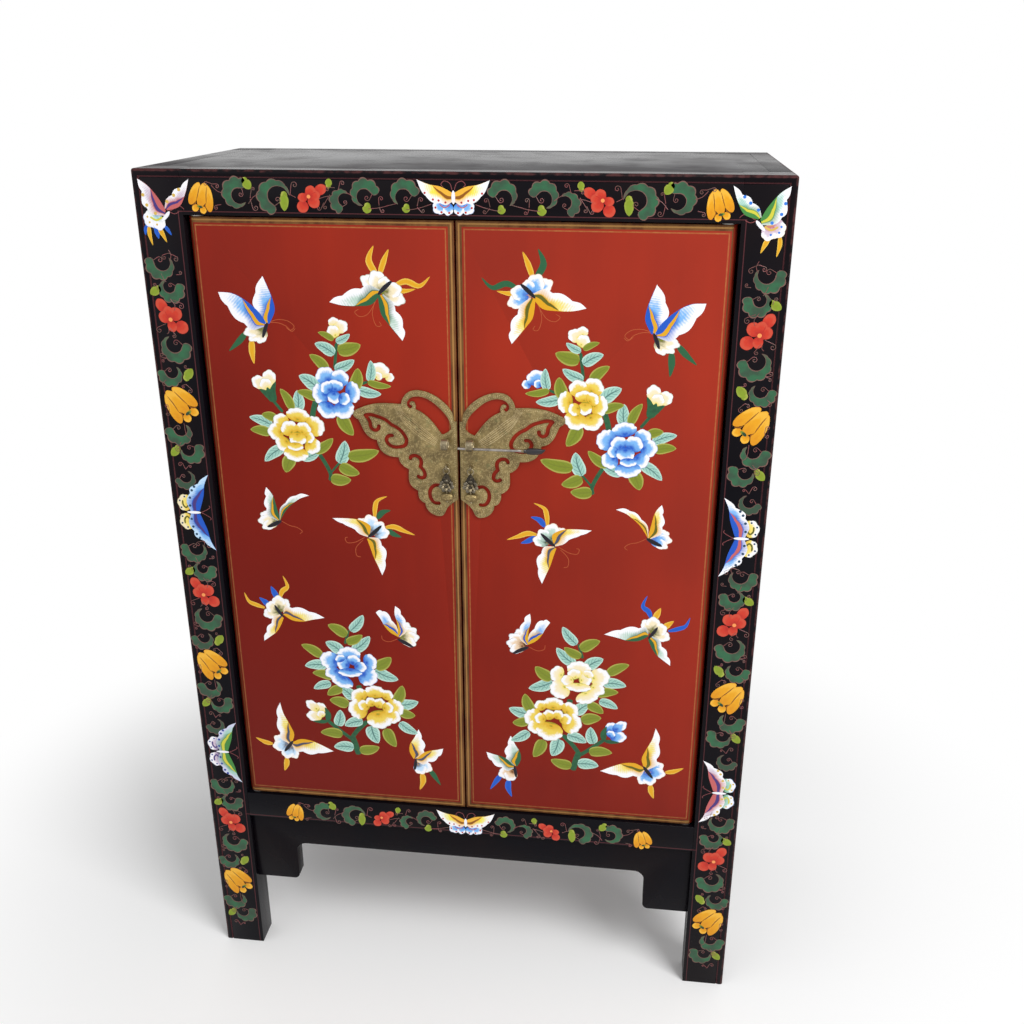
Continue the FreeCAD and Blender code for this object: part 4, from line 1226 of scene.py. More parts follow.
@dataclass(frozen=True)
class Flower:
    """A flower of the vine: round lobes, fine lines over them and an eye.

    A lobe and the eye are given by their place from the flower's middle, their length and
    breadth, and the way that they point, in degrees.
    """

    coat: Coat
    lobes: tuple[tuple[float, ...], ...]
    line_coat: Coat
    lines: tuple[Line, ...]
    line_width: float
    eye_coat: Coat
    eye: tuple[float, ...]

    def paint(self, layer: PaintLayer, at: Pair, size: float = 1.0, lean: float = 0.0,
              flip: int = 1) -> None:
        """Draw the lobes in order, then the lines and the eye.

        Args:
            layer: what it is painted on.
            at: place of its middle.
            size: its size, 1 as drawn.
            lean: how far it is turned, in degrees.
            flip: -1 to mirror it from side to side.
        """
        def spot(dx: float, dz: float) -> Pair:
            """A place given from the middle."""
            return turned((flip * dx * size, dz * size), lean)

        def round_lobe(numbers: tuple[float, ...], coat: Coat) -> None:
            """Draw a lobe or the eye."""
            dx, dz, along, across, turn = numbers
            layer.disc(spot(dx, dz), along * size, across * size,
                       (turn if flip > 0 else 180 - turn) + lean, coat, frill=0.04)

        layer.restart(at)
        for lobe in self.lobes:
            round_lobe(lobe, self.coat)
        strokes(layer, [([spot(*point) for point in line], self.line_width * size)
                        for line in self.lines], Taper.SPINDLE, self.line_coat)
        round_lobe(self.eye, self.eye_coat)


BLOSSOM = Flower(
    Coat(RED_DEEP, RED, RED_EDGE, RED_DEEP),
    ((7.4, 13.6, 14, 11, 60), (-10.6, -7.2, 13, 13, 215), (-1.0, -6.6, 11, 9.5, 265),
     (5.6, 2.6, 12, 12, 20), (-5.4, 5.4, 14, 13, 140), (1.2, 6.6, 13, 11, 80)),
    Coat(RED_DEEP, RED_DEEP, RED_DEEP),
    ([(0, 0), (3, 4), (5, 9)], [(0, 0), (-3, -3), (-7, -4)], [(0, 0), (3, -3), (4, -4)]), 0.7,
    plain(ORANGE_DOT), (0, 0, 4.0, 4.0, 0))
TULIP = Flower(
    Coat(TULIP_DEEP, TULIP_YELLOW, TULIP_EDGE, TULIP_DEEP),
    ((-14.0, -7.5, 9.5, 8.5, 200), (-6.2, -14.0, 9, 8.5, 250), (7.0, -4.5, 33, 12, 68),
     (-6.0, 8.0, 30, 12, 36), (2.0, 2.0, 31, 13, 47)),
    plain(BROWN),
    ([(4.5, 13), (-2, 6), (-8, 0)], [(12, 8), (6.5, 0), (2, -8)],
     [(2, -8), (-1, -10), (-2, -14)], [(-9, -1), (-12, -3), (-17, -3)]),
    1.2, Coat(DARK_GREEN, DARK_GREEN, OLIVE, DARK_GREEN), (-8.0, -8.6, 7.5, 3.2, 140))


@dataclass(frozen=True)
class Bud:
    """A lime-green bud, blunt at its base and pointed at its tip."""

    base: Pair
    tip: Pair
    width: float

    def paint(self, layer: PaintLayer, shift: Pair) -> None:
        """Draw a short broad stroke over a round base."""
        layer.restart(shift)
        coat = Coat(OLIVE, LIME, LIME_EDGE, OLIVE)
        layer.disc(self.base, self.width * 0.8, self.width * 0.9, 0, coat, segments=14)
        layer.stroke([self.base, self.tip], self.width, Taper.LEAF, Brush.LINE, coat, steps=8)


@dataclass(frozen=True)
class Vine:
    """A stretch of the vine: scroll leaves, buds, thin curls and thin stems."""

    scrolls: tuple[Scroll, ...]
    buds: tuple[Bud, ...]
    curls: tuple[Curl, ...]
    stems: tuple[Line, ...]

    def tendrils(self) -> list[Line]:
        """The stems, the curls and the curls in the scroll leaves, as lines."""
        curls = (*self.curls, *(scroll.curl() for scroll in self.scrolls))
        return [*self.stems, *(curl.line() for curl in curls)]


# ---- the painting, given one by one
# Places are millimetres outwards from the middle of the front and upwards from the floor.

AQUA_LEAF, OLIVE_LEAF = LeafKind.AQUA, LeafKind.OLIVE

UPPER_PEONIES = PeonyGroup(
    stems=(
        ([(141, 690), (144, 680), (146, 670)], 5.5),
        ([(150, 648), (138, 630), (131, 615), (132, 607)], 4.0),
        ([(131, 615), (118, 630), (112, 634)], 2.2), ([(116.5, 749), (120, 722)], 3.0),
        ([(88, 711), (100, 706)], 2.6), ([(185, 690), (175, 677)], 3.0)),
    leaves=(
        *leaves(
            AQUA_LEAF, (119, 737, 138, 747, 11), (120, 722, 100, 732, 10), (99, 703, 75, 699, 10),
            (160, 679, 159, 700, 12), (137, 702, 156, 715, 13), (187, 663, 210, 671, 10),
            (177, 641, 198, 625, 11), (160, 630, 140, 638, 10), (121, 626, 114, 650, 13)),
        *leaves(
            OLIVE_LEAF, (116, 741, 93, 747, 13), (127, 721, 144, 736, 10), (102, 703, 97, 724, 12),
            (165, 680, 176, 701, 9), (139, 692, 159, 699, 9), (182, 670, 197, 674, 9),
            (189, 655, 210, 658, 10), (169, 632, 177, 614, 13), (146, 637, 126, 652, 10),
            (121, 624, 101, 616, 12), (112, 634, 80, 641, 13), (131, 610, 110, 609, 12),
            (117, 677, 105, 656, 13))),
    buds=(
        bloom(119, 757, (118, 768, 10, 11, 90), (111, 764, 14, 13, 150), (119, 759, 13, 13, 60)),
        bloom(78, 720, (66, 716, 9, 9, 190), (75, 723, 15, 19, 110), (77, 717, 8, 9, 150)),
        bloom(188, 700, (186, 712, 16, 14, 100), (197, 707, 15, 14, 30), (190, 705, 13, 13, 65))),
    sepals=(
        *leaves(AQUA_LEAF, (117, 749, 103, 757, 7), (86, 711, 84, 732, 9)),
        *leaves(OLIVE_LEAF, (119, 751, 134, 758, 6), (88, 711, 65, 707, 7))),
    calyxes=(
        ([(182, 688), (184, 697), (180, 708)], 7.0), ([(182, 688), (189, 695), (197, 700)], 7.0),
        ([(182, 688), (186, 694), (189, 702)], 9.0)),
    flowers=(
        bloom(
            120.5, 699, (130, 716, 17, 20), (115, 714, 17, 18), (103, 700, 15, 22),
            (136, 697, 16, 22), (130, 681, 17, 21), (113, 682, 19, 22), (121, 706, 12, 18, 90),
            (129, 704, 12, 14, 40), (122, 694, 13, 14, -90), (112, 693, 12, 13, 200)),
        bloom(
            163, 656, (160, 675, 15, 24), (178, 668, 16, 17), (184, 657, 17, 18),
            (177, 644, 15, 19), (165, 634, 16, 26), (147, 643, 16, 18), (143, 664, 19, 22),
            (170, 661, 16, 18, 60), (155, 661, 14, 16, 120), (150, 652, 11, 12, 190),
            (162, 650, 15, 18, -90), (165, 642, 9, 17, -90))))

LOWER_PEONIES = PeonyGroup(
    stems=(
        ([(127.6, 421), (125, 430), (123, 438)], 3.0), ([(115.6, 371), (114, 362)], 6.0),
        ([(119.6, 281), (122, 289), (124, 297), (127, 306)], 7.0),
        ([(126, 304), (119, 314), (108, 326)], 5.0), ([(127, 301), (138, 310), (153, 323)], 4.2)),
    leaves=(
        *leaves(
            AQUA_LEAF, (121, 437, 106, 457, 11), (120, 413, 100, 432, 12),
            (131, 410, 149, 422, 13), (149, 393, 174, 391, 12), (97, 391, 71, 381, 13),
            (146, 371, 166, 363, 10), (121, 353, 136, 367, 13), (75, 349, 50, 355, 13),
            (72, 327, 52, 314, 11), (104, 320, 97, 298, 15), (113, 326, 134, 318, 12),
            (142, 317, 138, 338, 12), (125, 290, 148, 289, 13)),
        *leaves(
            OLIVE_LEAF, (125, 431, 145, 443, 12), (126, 423, 108, 433, 10),
            (154, 404, 176, 417, 11), (96, 394, 78, 408, 13), (142, 379, 166, 383, 11),
            (134, 366, 151, 356, 11), (128, 345, 149, 350, 13), (75, 352, 67, 374, 12),
            (71, 341, 54, 337, 11), (87, 318, 77, 295, 13), (137, 306, 162, 307, 12),
            (119, 287, 96, 293, 12))),
    buds=(
        bloom(
            159, 332, (168, 328, 18, 14, 5), (160, 339, 14, 13, 70), (169, 341, 18, 12, 42),
            (160, 331, 9, 10, 60)),),
    sepals=(),
    calyxes=(
        ([(153, 322), (152, 331), (155, 340)], 6.5), ([(153, 322), (161, 321), (170, 321)], 4.5)),
    flowers=(
        bloom(
            124, 395, (146, 400, 22, 22), (124, 409, 18, 26), (101, 401, 15, 20),
            (104, 382, 21, 24), (134, 375, 16, 27), (144, 385, 17, 14), (131, 396, 14, 15, 10),
            (119, 402, 13, 15, 110), (112, 394, 14, 13, 190), (124, 386, 11, 27, -90),
            (134, 403, 9, 12, 60)),
        bloom(
            97, 343, (98, 364, 16, 24), (84, 361, 13, 14), (116, 358, 17, 21), (118, 341, 22, 26),
            (76, 345, 20, 23), (79, 334, 18, 18), (94, 329, 24, 30), (111, 346, 14, 14, 20),
            (103, 351, 12, 12, 60), (93, 350, 13, 13, 110), (84, 345, 13, 14, 170))))


# The colours of each side's two groups, and how far each group is moved.
DOOR_PETALS = {
    -1: (((CREAM_PETAL, CREAM_PETAL, CREAM_PETAL, BLUE_PETAL, YELLOW_PETAL), (0.0, 0.0)),
         ((CREAM_PETAL, BLUE_PETAL, YELLOW_PETAL), (0.0, 0.0))),
    1: (((CREAM_PETAL, BLUE_PETAL, CREAM_PETAL, YELLOW_PETAL, BLUE_PETAL), (0.0, -2.5)),
        ((BLUE_PETAL, CREAM_PETAL, YELLOW_PETAL), (-1.0, 0.0)))}

DOOR_BUTTERFLIES = (
    Butterfly(
        (Wing(
             [(181, 765), (175, 777), (176, 788), (180, 800), (184, 810)],
             [(186, 764), (197, 770), (201, 780), (199, 790), (193, 801)]),
         Wing(
             [(185, 766), (190, 775), (202, 786), (215, 793), (229, 794)],
             [(188, 760), (202, 756), (215, 762), (223, 773), (228, 784)])),
        (Petal(192, 750, 9, 10), Petal(199, 751, 9, 9), Petal(203, 756, 9, 9)),
        [(183, 766), (186, 759), (189, 751)], 3.8, (([(200, 750), (201, 737), (200, 725)], 6.4),),
        (([(205, 756), (213, 747), (224, 737)], 6.0),),
        ([(182, 766), (173, 769), (163, 768), (157, 763), (161, 759), (165, 762)],
         [(182, 766), (173, 766), (165, 763), (160, 758), (156, 761)]),
        (187, 760)),
    Butterfly(
        (Wing(
             [(71, 796), (80, 786), (92, 784), (108, 784), (121, 787)],
             [(72, 801), (84, 807), (96, 805), (107, 799), (116, 793)]),
         Wing(
             [(74, 794), (72, 778), (66, 769), (58, 759), (52, 752)],
             [(66, 796), (57, 788), (51, 779), (48, 769), (48, 760)])),
        (Petal(84, 808, 12, 12), Petal(75, 811, 13, 14), Petal(54, 791, 12, 12),
         Petal(57, 800, 12, 12), Petal(67, 807, 10, 10)),
        [(60, 808), (67, 802), (74, 795)], 4.2,
        (([(73, 812), (81, 826), (76, 840)], 6.4),
         ([(59, 803), (47, 808), (34, 804), (24, 813)], 5.6)),
        (([(72, 812), (67, 826), (62, 837)], 5.4), ([(58, 800), (49, 799), (38, 801)], 4.4)),
        ([(76, 789), (84, 777), (92, 774), (97, 778), (93, 781)],
         [(77, 789), (80, 777), (77, 766), (72, 766), (74, 770)]),
        (69, 798)),
    Butterfly(
        (Wing(
             [(187, 561), (190, 575), (192, 585), (195, 592), (199.4, 597)],
             [(191, 560), (202, 566), (205, 575), (203, 584), (202, 590)]),
         Wing(
             [(187, 562), (180, 573), (173, 580), (165, 586), (155, 590)],
             [(188, 561), (185, 574), (178, 583), (171, 588), (163, 591)], 1.0, 1.6)),
        (Petal(203, 566, 10, 10), Petal(206, 560, 10, 10), Petal(203, 554, 9, 9)),
        [(186, 561), (193, 557), (202, 553)], 4.6,
        feelers=([(187, 561), (178, 556), (170, 554), (165, 550), (168, 547)],), root=(190, 561)),
    Butterfly(
        (Wing(
             [(94, 551), (93, 560), (104, 566), (118, 567), (132, 566.5)],
             [(95, 547), (104, 551), (112, 557), (119, 560), (126, 563)], 1.0, 1.0),
         Wing(
             [(97, 545), (94, 535), (91, 525), (87, 515), (83, 505)],
             [(94, 548), (83, 547), (76, 538), (75, 527), (78, 515)])),
        (Petal(101, 563, 11, 11), Petal(93, 566, 12, 14), Petal(79, 553, 11, 11),
         Petal(83, 560, 11, 11)),
        [(96, 547), (89, 553), (81, 561)], 4.2,
        (([(88, 568), (87, 580), (84, 588), (74, 593)], 5.0),
         ([(77, 559), (68, 560), (58, 556), (47, 552)], 5.6)),
        (([(85, 568), (80, 575), (71, 578)], 6.0), ([(76, 557), (69, 552), (61, 549)], 5.6)),
        ([(99, 547), (109.5, 541), (118, 540), (120, 545), (117, 546)],
         [(101, 544), (109, 535), (109, 526), (104.5, 524.5)]),
        (90, 552)),
    Butterfly(
        (Wing(
             [(193, 452), (184, 446), (173, 445), (161, 448), (148, 451)],
             [(193, 456), (190, 465), (180, 466), (168, 463), (157, 457)]),
         Wing(
             [(193, 448), (197, 439), (202, 431), (209, 425), (217, 419)],
             [(199, 454), (206, 448), (212, 440), (215, 433), (217, 426)])),
        (Petal(190, 466, 10, 11), Petal(197, 469, 11, 12), Petal(210, 452, 10, 11),
         Petal(206, 461, 11, 12)),
        [(202, 463), (198, 456), (193, 449)], 3.6,
        (([(195, 472), (192, 480), (186, 486), (190, 498)], 5.4),
         ([(213, 459), (222, 462), (230, 466), (234, 476)], 4.8)),
        (([(198, 471), (201, 478), (204, 485)], 6.4), ([(208, 462), (212, 466), (218, 471)], 6.4)),
        root=(198, 457)),
    Butterfly(
        (Wing(
             [(68, 433), (77, 438), (83, 445), (87, 453), (92, 461)],
             [(67, 436), (71, 449), (76, 461), (83, 467), (88, 466)]),
         Wing(
             [(70, 434), (69, 443), (70, 452), (72, 461), (71, 470)],
             [(66, 433), (60, 441), (59, 450), (62, 459), (65, 466)])),
        (Petal(60, 446, 11, 11), Petal(54, 441, 11, 11), Petal(52, 434, 11, 11),
         Petal(55, 427, 10, 10)),
        [(70, 431), (62, 427), (53, 422)], 4.4,
        feelers=([(70, 431), (79, 427), (86, 429), (87, 434)],), root=(66, 433)),
    Butterfly(
        (Wing(
             [(196, 291), (193, 302), (197, 314), (203, 328), (206, 342)],
             [(200, 287), (212, 295), (215, 306), (214, 318), (212, 331)]),
         Wing(
             [(196, 291), (186, 296), (174, 295), (162, 290), (149, 283)],
             [(197, 286), (192, 276), (182, 273), (171, 273), (160, 278)])),
        (Petal(211, 294, 12, 12), Petal(213, 285, 12, 12), Petal(195, 275, 11, 11),
         Petal(203, 275, 12, 12)),
        [(195, 293), (200, 286), (206, 278)], 4.2,
        (([(219, 287), (228, 289), (238, 294)], 5.6), ([(204, 270), (205, 261), (208, 252)], 6.4)),
        root=(200, 286)),
    Butterfly(
        (Wing(
             [(58, 281), (62, 290), (61, 300), (56, 309), (51, 320)],
             [(54, 282), (43, 288), (40, 297), (43, 306), (47, 313)]),
         Wing(
             [(54, 282), (46, 290), (39, 293), (31, 295), (24, 297)],
             [(56, 277), (46, 272), (37, 275), (30, 281), (26, 288)])),
        (Petal(43, 270, 12, 12), Petal(50, 267, 12, 12)), [(55, 281), (56, 274), (57, 266)], 3.6,
        (([(49, 263), (48, 252), (52, 240)], 6.8),), (([(40, 268), (35, 260), (28, 248)], 6.0),),
        root=(54, 276)))

LILAC = srgb(0xCEBECE)
PALE_BLUE = srgb(0xBEDCF6)
GRASS = srgb(0x42843E)
LEMON = srgb(0xCEC842)
INK = srgb(0x163E5C)
ULTRAMARINE = srgb(0x1E3C96)
SAND = srgb(0xD4B258)
MOSS = srgb(0x5C5C14)
SLATE = srgb(0x464A60)
PEACH = srgb(0xE8CCAC)
MINT = srgb(0xB6D0C2)

BLUE_WING = Coat(DEEP_BLUE, SKY, WHITE, AMBER)
AQUA_WING = Coat(STEM_GREEN, MINT, WHITE, AMBER)
GOLD_WING = Coat(AMBER, YELLOW, WHITE, MOSS)
SLATE_WING = Coat(AMBER, YELLOW, WHITE, SLATE)
SKY_WING = Coat(GOLD, SKY, WHITE, DEEP_BLUE)
CREAM_HIND = Coat(MOSS, CREAM, WHITE, OLIVE)
BLUE_HIND = Coat(DEEP_BLUE, SKY, WHITE, AMBER)
PALE_HIND = Coat(SLATE, PALE_BLUE, WHITE, AMBER)
PEACH_HIND = Coat(BROWN, PEACH, WHITE, BLACK)
MINT_HIND = Coat(DARK_GREEN, MINT, WHITE, AMBER)

DOOR_PLUMAGE = {
    -1: (Plumage(BLUE_WING, CREAM_HIND), Plumage(AQUA_WING, CREAM_HIND, other_tails=YELLOW_TAIL),
         Plumage(AQUA_WING, CREAM_HIND), Plumage(GOLD_WING, PALE_HIND),
         Plumage(SLATE_WING, CREAM_HIND, other_tails=BLUE_TAIL), Plumage(SKY_WING, CREAM_HIND),
         Plumage(SLATE_WING, PALE_HIND), Plumage(SLATE_WING, PALE_HIND)),
    1: (Plumage(BLUE_WING, CREAM_HIND, GREEN_TAIL),
        Plumage(GOLD_WING, BLUE_HIND, GREEN_TAIL, YELLOW_TAIL), Plumage(GOLD_WING, BLUE_HIND),
        Plumage(SLATE_WING, MINT_HIND, other_tails=BLUE_TAIL),
        Plumage(AQUA_WING, CREAM_HIND, BLUE_TAIL, YELLOW_TAIL), Plumage(SKY_WING, PEACH_HIND),
        Plumage(GOLD_WING, BLUE_HIND), Plumage(AQUA_WING, PEACH_HIND, BLUE_TAIL, BLUE_TAIL))}


def on_black(wing: Coat, hind: Coat, dots: Colour, ring: Colour, size: float = 2.8) -> Plumage:
    """The colours of a butterfly on the black frame, whose body is white."""
    return Plumage(wing, hind, YELLOW_TAIL, BLUE_TAIL, dots, ring, PALE_BODY, FEELER, size)


UPPER_STILE = {
    -1: on_black(Coat(DEEP_BLUE, SKY, PALE_BLUE, PURPLE), Coat(GOLD, YELLOW, CREAM, OLIVE), INK,
                 MOSS),
    1: on_black(Coat(DEEP_BLUE, SKY, WHITE, ROSE), Coat(GOLD, YELLOW, WHITE, OLIVE), INK, MOSS)}
LOWER_STILE = {
    -1: on_black(Coat(GRASS, AQUA, LAVENDER, LEMON), Coat(PURPLE, LILAC, WHITE, PURPLE),
                 ULTRAMARINE, PURPLE),
    1: on_black(Coat(ROSE, LILAC, WHITE, PURPLE), Coat(GRASS, AQUA, WHITE, BLUE), SAND, LEMON)}
CORNER = {
    -1: on_black(Coat(ROSE, LILAC, WHITE, PURPLE), Coat(AQUA, WHITE, WHITE, BLUE), SAND, LEMON,
                 3.2),
    1: on_black(Coat(GRASS, AQUA, WHITE, LEMON), Coat(ROSE, LILAC, WHITE, SAND), BLUE, SAND, 3.0)}
RAIL_MIDDLE = on_black(
    Coat(TULIP_EDGE, srgb(15786568), WHITE, BROWN), Coat(BLUE, SKY, WHITE, BLUE), RED_DEEP, ROSE,
    2.0)


def stile_butterfly(z: float, reach: float) -> Butterfly:
    """A butterfly whose forewings sweep up and down the stile, towards the door.

    Args:
        z: height of its body.
        reach: how far its wing tips are above and below the body.

    Returns:
        The butterfly.
    """
    def both(*points: Pair) -> list[Line]:
        """A line given for the upper half, and the same mirrored below the body."""
        return [[(x, z + way * dz) for x, dz in points] for way in (1, -1)]

    leads = both((271, 2), (265.5, 18), (263, 31), (258, reach))
    trails = both((281, 1), (279.5, 21), (269.5, 32))
    rings = both((283, 13), (282.8, 8), (285.6, 5), (288.3, 8), (288.4, 13))
    upper, lower = both((286, 17), (291.5, 12.5), (290.5, 5))
    return Butterfly(
        tuple(Wing(lead, trail, 1.0, 3.4, (0.14, 0.27, 0.4, 0.55))
              for lead, trail in zip(leads, trails)),
        tuple(Petal(286.5, z + 10.5 * way, 15.6, 19, 12 * way) for way in (1, -1)),
        [(270, z), (277, z), (285, z)], 3.0,
        feelers=tuple(both((270, 0), (264, 3), (260, 6), (261, 8))), root=(280, z),
        rings=tuple((line, 1.7) for line in rings), spots=(*upper, *lower), fanned=False)


def corner_butterfly(tailed: bool) -> Butterfly:
    """The butterfly in an upper corner, wings raised and tails hanging; one side has more."""
    dots = (0.16, 0.36, 0.6)
    other_tails = (([(281.5, 855), (281, 849), (280, 843)], 5.0),
                   ([(289.5, 856), (292, 851), (292.5, 846)], 3.4),
                   ([(273, 855), (270, 851), (267, 846.5)], 3.4))
    return Butterfly(
        (Wing([(268, 869), (256, 873), (249, 885), (245, 897)],
              [(271, 871), (262.5, 882.5), (253, 889.5)], 1.0, 2.4, dots),
         Wing([(270, 869), (276, 880), (285, 891), (294, 897)],
              [(272, 864), (288, 871), (291, 886)], 1.0, 2.8, dots)),
        (Petal(284.5, 861, 17, 17, -40), Petal(278, 857.5, 14, 13, -90)),
        [(266.5, 868), (270, 864), (275, 859)], 3.4,
        (([(288, 855), (288.5, 847), (286.5, 837)], 4.0),
         ([(279, 854), (276, 848), (272.5, 840)], 4.4)),
        other_tails if tailed else (),
        ([(267, 868), (261, 871), (256, 873), (252, 870)], [(267, 868), (262, 866), (257, 868)]),
        (277, 866), (([(274, 863), (280, 860), (286, 863)], 1.8),),
        ((287, 858), (288.5, 863), (280, 856)), False)


def middle_butterfly(z: float, side: int) -> Butterfly:
    """Half of the butterfly in the middle of a rail, whose forewings are spread level."""
    return Butterfly(
        (Wing([(1, z + 4), (11, z + 9), (22, z + 11), (33, z + 15)],
              [(1, z - 4), (12, z - 5), (25, z + 1)], 1.0, 1.8, (0.2, 0.36, 0.52, 0.7)),),
        (Petal(12.5, z - 8.5, 14, 13, -35), Petal(5, z - 10.5, 11, 10, -80)),
        [(0, z + 6), (0, z), (0, z - 6)] if side < 0 else [], 3.4,
        feelers=([(1, z + 6), (3, z + 12), (8, z + 14), (11, z + 11), (9, z + 9)],),
        rings=(([(3, z - 6), (8, z - 9), (13, z - 6)], 0.9),),
        spots=((16.5, z - 9), (11, z - 13), (4, z - 13.5)), fanned=False)


# The vine's places on a stile are heights above the middle of a tulip, and on a rail above
# the rail's middle line.

STILE_VINE = Vine(
    scrolls=(
        Scroll(277, 59, 7.0, 62, -255, 9.3), Scroll(284, 32, 5.6, 138, 235, 8),
        Scroll(282, -27, 6.0, 142, 230, 9.5), Scroll(275, -48, 5.6, 0, -215, 9),
        Scroll(282.5, -78, 5.2, 115, 240, 6.5, dim=True), Scroll(280.5, -157, 6.8, 150, 235, 8.6),
        Scroll(275, -180, 4.8, 58, -262, 9)),
    buds=(
        Bud((269, 27), (262, 36), 8.5), Bud((287, -47), (294, -55), 8),
        Bud((287, -182), (295, -187), 8)),
    curls=(
        Curl((283, -42), 286.5, -48, 2.8, -1), Curl((281, -69), 286, -64, 2.6, -1),
        Curl((281, -69), 276, -66, 1.6), Curl((290.5, -7), 293, -3, 2.0, -1),
        Curl((290.5, -7), 293, -11, 2.0), Curl((290, 24), 292.5, 19.5, 1.8, -1),
        Curl((270, 20), 267, 13.5, 2.6), Curl((270, 20), 273, 17.5, 1.7, -1),
        Curl((264.5, 36), 268.5, 38, 1.6), Curl((286, 46), 291, 49, 2.2),
        Curl((286, 46), 290.5, 43, 1.6, -1), Curl((280, 76), 276.5, 68, 2.1),
        Curl((283, 80), 290.5, 73.5, 3.0, -1), Curl((273, 103), 266, 97, 3.0),
        Curl((287, -183), 290, -178, 1.6, -1), Curl((272, -148), 266, -153.5, 2.6),
        Curl((272, -148), 277, -152, 2.4, -1), Curl((267, -168), 263, -166, 1.8, -1)),
    stems=(
        [(276, 104), (272, 98), (273, 93)], [(281, 75), (281, 72), (283, 70)],
        [(272, -36), (276, -32), (277, -20)], [(282, -40), (285, -44), (284, -48)],
        [(282, -167), (280, -172), (278, -175)], [(272, -145), (270, -150), (272, -155)]))

RAIL_VINE = Vine(
    scrolls=(
        Scroll(45, 0, 6.2, -50, 228, 8.2), Scroll(81, 0, 6.0, -75, 250, 8.2),
        Scroll(100.5, -4, 4.6, 125, -205, 7.4), Scroll(164, -2, 6.4, 172, -262, 9, 7.0),
        Scroll(199, 0, 5.4, 226, 268, 9, 4.0)),
    buds=(
        Bud((43, -9), (44, -14), 7), Bud((79, -9), (80, -15), 8), Bud((156, 0), (156.5, -14), 8),
        Bud((192, 12), (187, 5), 8), Bud((114, 9), (113, 15), 6)),
    curls=(
        Curl((33, -8), 29.5, -2.5, 2.2), Curl((33, -9), 28, -12, 1.8, -1),
        Curl((68, -8), 66, -2, 2.2), Curl((68, -9), 65, -12.5, 1.8, -1),
        Curl((105, 5), 101, 11, 2.2), Curl((108, 7), 115, 5.5, 1.8, -1),
        Curl((113, 1), 118, -10, 2.0, -1), Curl((119, -6), 124, -11, 2.0),
        Curl((150, 1), 145.5, 9, 3.0), Curl((188, -3), 184.5, 5, 1.6),
        Curl((188, -4), 183.5, -11.5, 2.8, -1), Curl((223, 9), 218.5, 7, 2.0),
        Curl((223, 9), 229, 9, 2.0, -1), Curl((216, -9), 221, -12, 2.0, -1)),
    stems=(
        [(20, -6), (29, -9), (38, -11), (43, -11)], [(52, -6), (60, -8), (68, -10), (78, -11)],
        [(90, -2), (94, 1), (98, 3)], [(112, 0), (118, -1), (124, -3)], [(145, -2), (151, 1)],
        [(179, 1), (185, -2), (190, -8)], [(213, 1), (219, 3), (224, 8)]))


# ---- shapes that follow a path

@dataclass
class PathTree:
    """A Geometry Nodes tree with named inputs, run once on the edge lines of a mesh."""

    name: str
    tree: Tree = None
    extra = ()

    def add(self, kind: str, inputs: dict, **settings: object) -> Node:
        """Add a node.

        Args:
            kind: the node's type, without GeometryNode.
            inputs: output sockets or values by input name or number.
            settings: its properties.

        Returns:
            The node.
        """
        node = self.tree.nodes.new(kind if kind.startswith("Function") else "GeometryNode" + kind)
        for key, value in settings.items():
            setattr(node, key, value)
        for key, value in inputs.items():
            plug(self.tree, node.inputs[key], value)
        return node

    def wire(self, line: Socket, given: Node) -> Socket:
        """Make geometry along the curve; each tree has its own way."""
        raise NotImplementedError

    def run(self, mesh: Mesh, **values: object) -> Mesh:
        """Run the tree on a mesh.

        Args:
            mesh: what goes in.
            values: the inputs by name.

        Returns:
            A plain mesh.
        """
        self.tree = bpy.data.node_groups.new(self.name, "GeometryNodeTree")
        face = self.tree.interface
        face.new_socket("Geometry", in_out="OUTPUT", socket_type="NodeSocketGeometry")
        for name, kind in (("Geometry", "Geometry"), ("Radius", "Float"), *self.extra,
                           ("Material", "Material")):
            face.new_socket(name, in_out="INPUT", socket_type="NodeSocket" + kind)
        given = self.tree.nodes.new("NodeGroupInput")
        line = self.add("MeshToCurve", {"Mesh": given.outputs["Geometry"]})
        made = self.wire(line.outputs["Curve"], given)
        real = self.add("RealizeInstances", {"Geometry": made})
        coat = self.add("SetMaterial", {"Geometry": real.outputs[0],
                                        "Material": given.outputs["Material"]})
        end = self.tree.nodes.new("NodeGroupOutput")
        plug(self.tree, end.inputs[0], coat.outputs[0])
        carrier = linked(self.name, mesh)
        modifier = carrier.modifiers.new("run", "NODES")
        modifier.node_group = self.tree
        for item in face.items_tree:
            if item.in_out == "INPUT" and item.name in values:
                modifier[item.identifier] = values[item.name]
        return applied(carrier)


def applied(carrier: Piece) -> Mesh:
    """The plain mesh that a carrier's modifiers make; the carrier goes."""
    ready = carrier.evaluated_get(bpy.context.evaluated_depsgraph_get())
    made = bpy.data.meshes.new_from_object(ready)
    bpy.data.objects.remove(carrier)
    return made


class SweptLine(PathTree):
    """A round bead swept along every edge line of a mesh."""

    def wire(self, line: Socket, given: Node) -> Socket:
        """A round profile swept along the curve, with caps."""
        ring = self.add("CurvePrimitiveCircle", {"Radius": given.outputs["Radius"],
                                                 "Resolution": 5}, mode="RADIUS")
        tube = self.add("CurveToMesh", {"Curve": line, "Profile Curve": ring.outputs["Curve"],
                                        "Fill Caps": True})
        return tube.outputs["Mesh"]


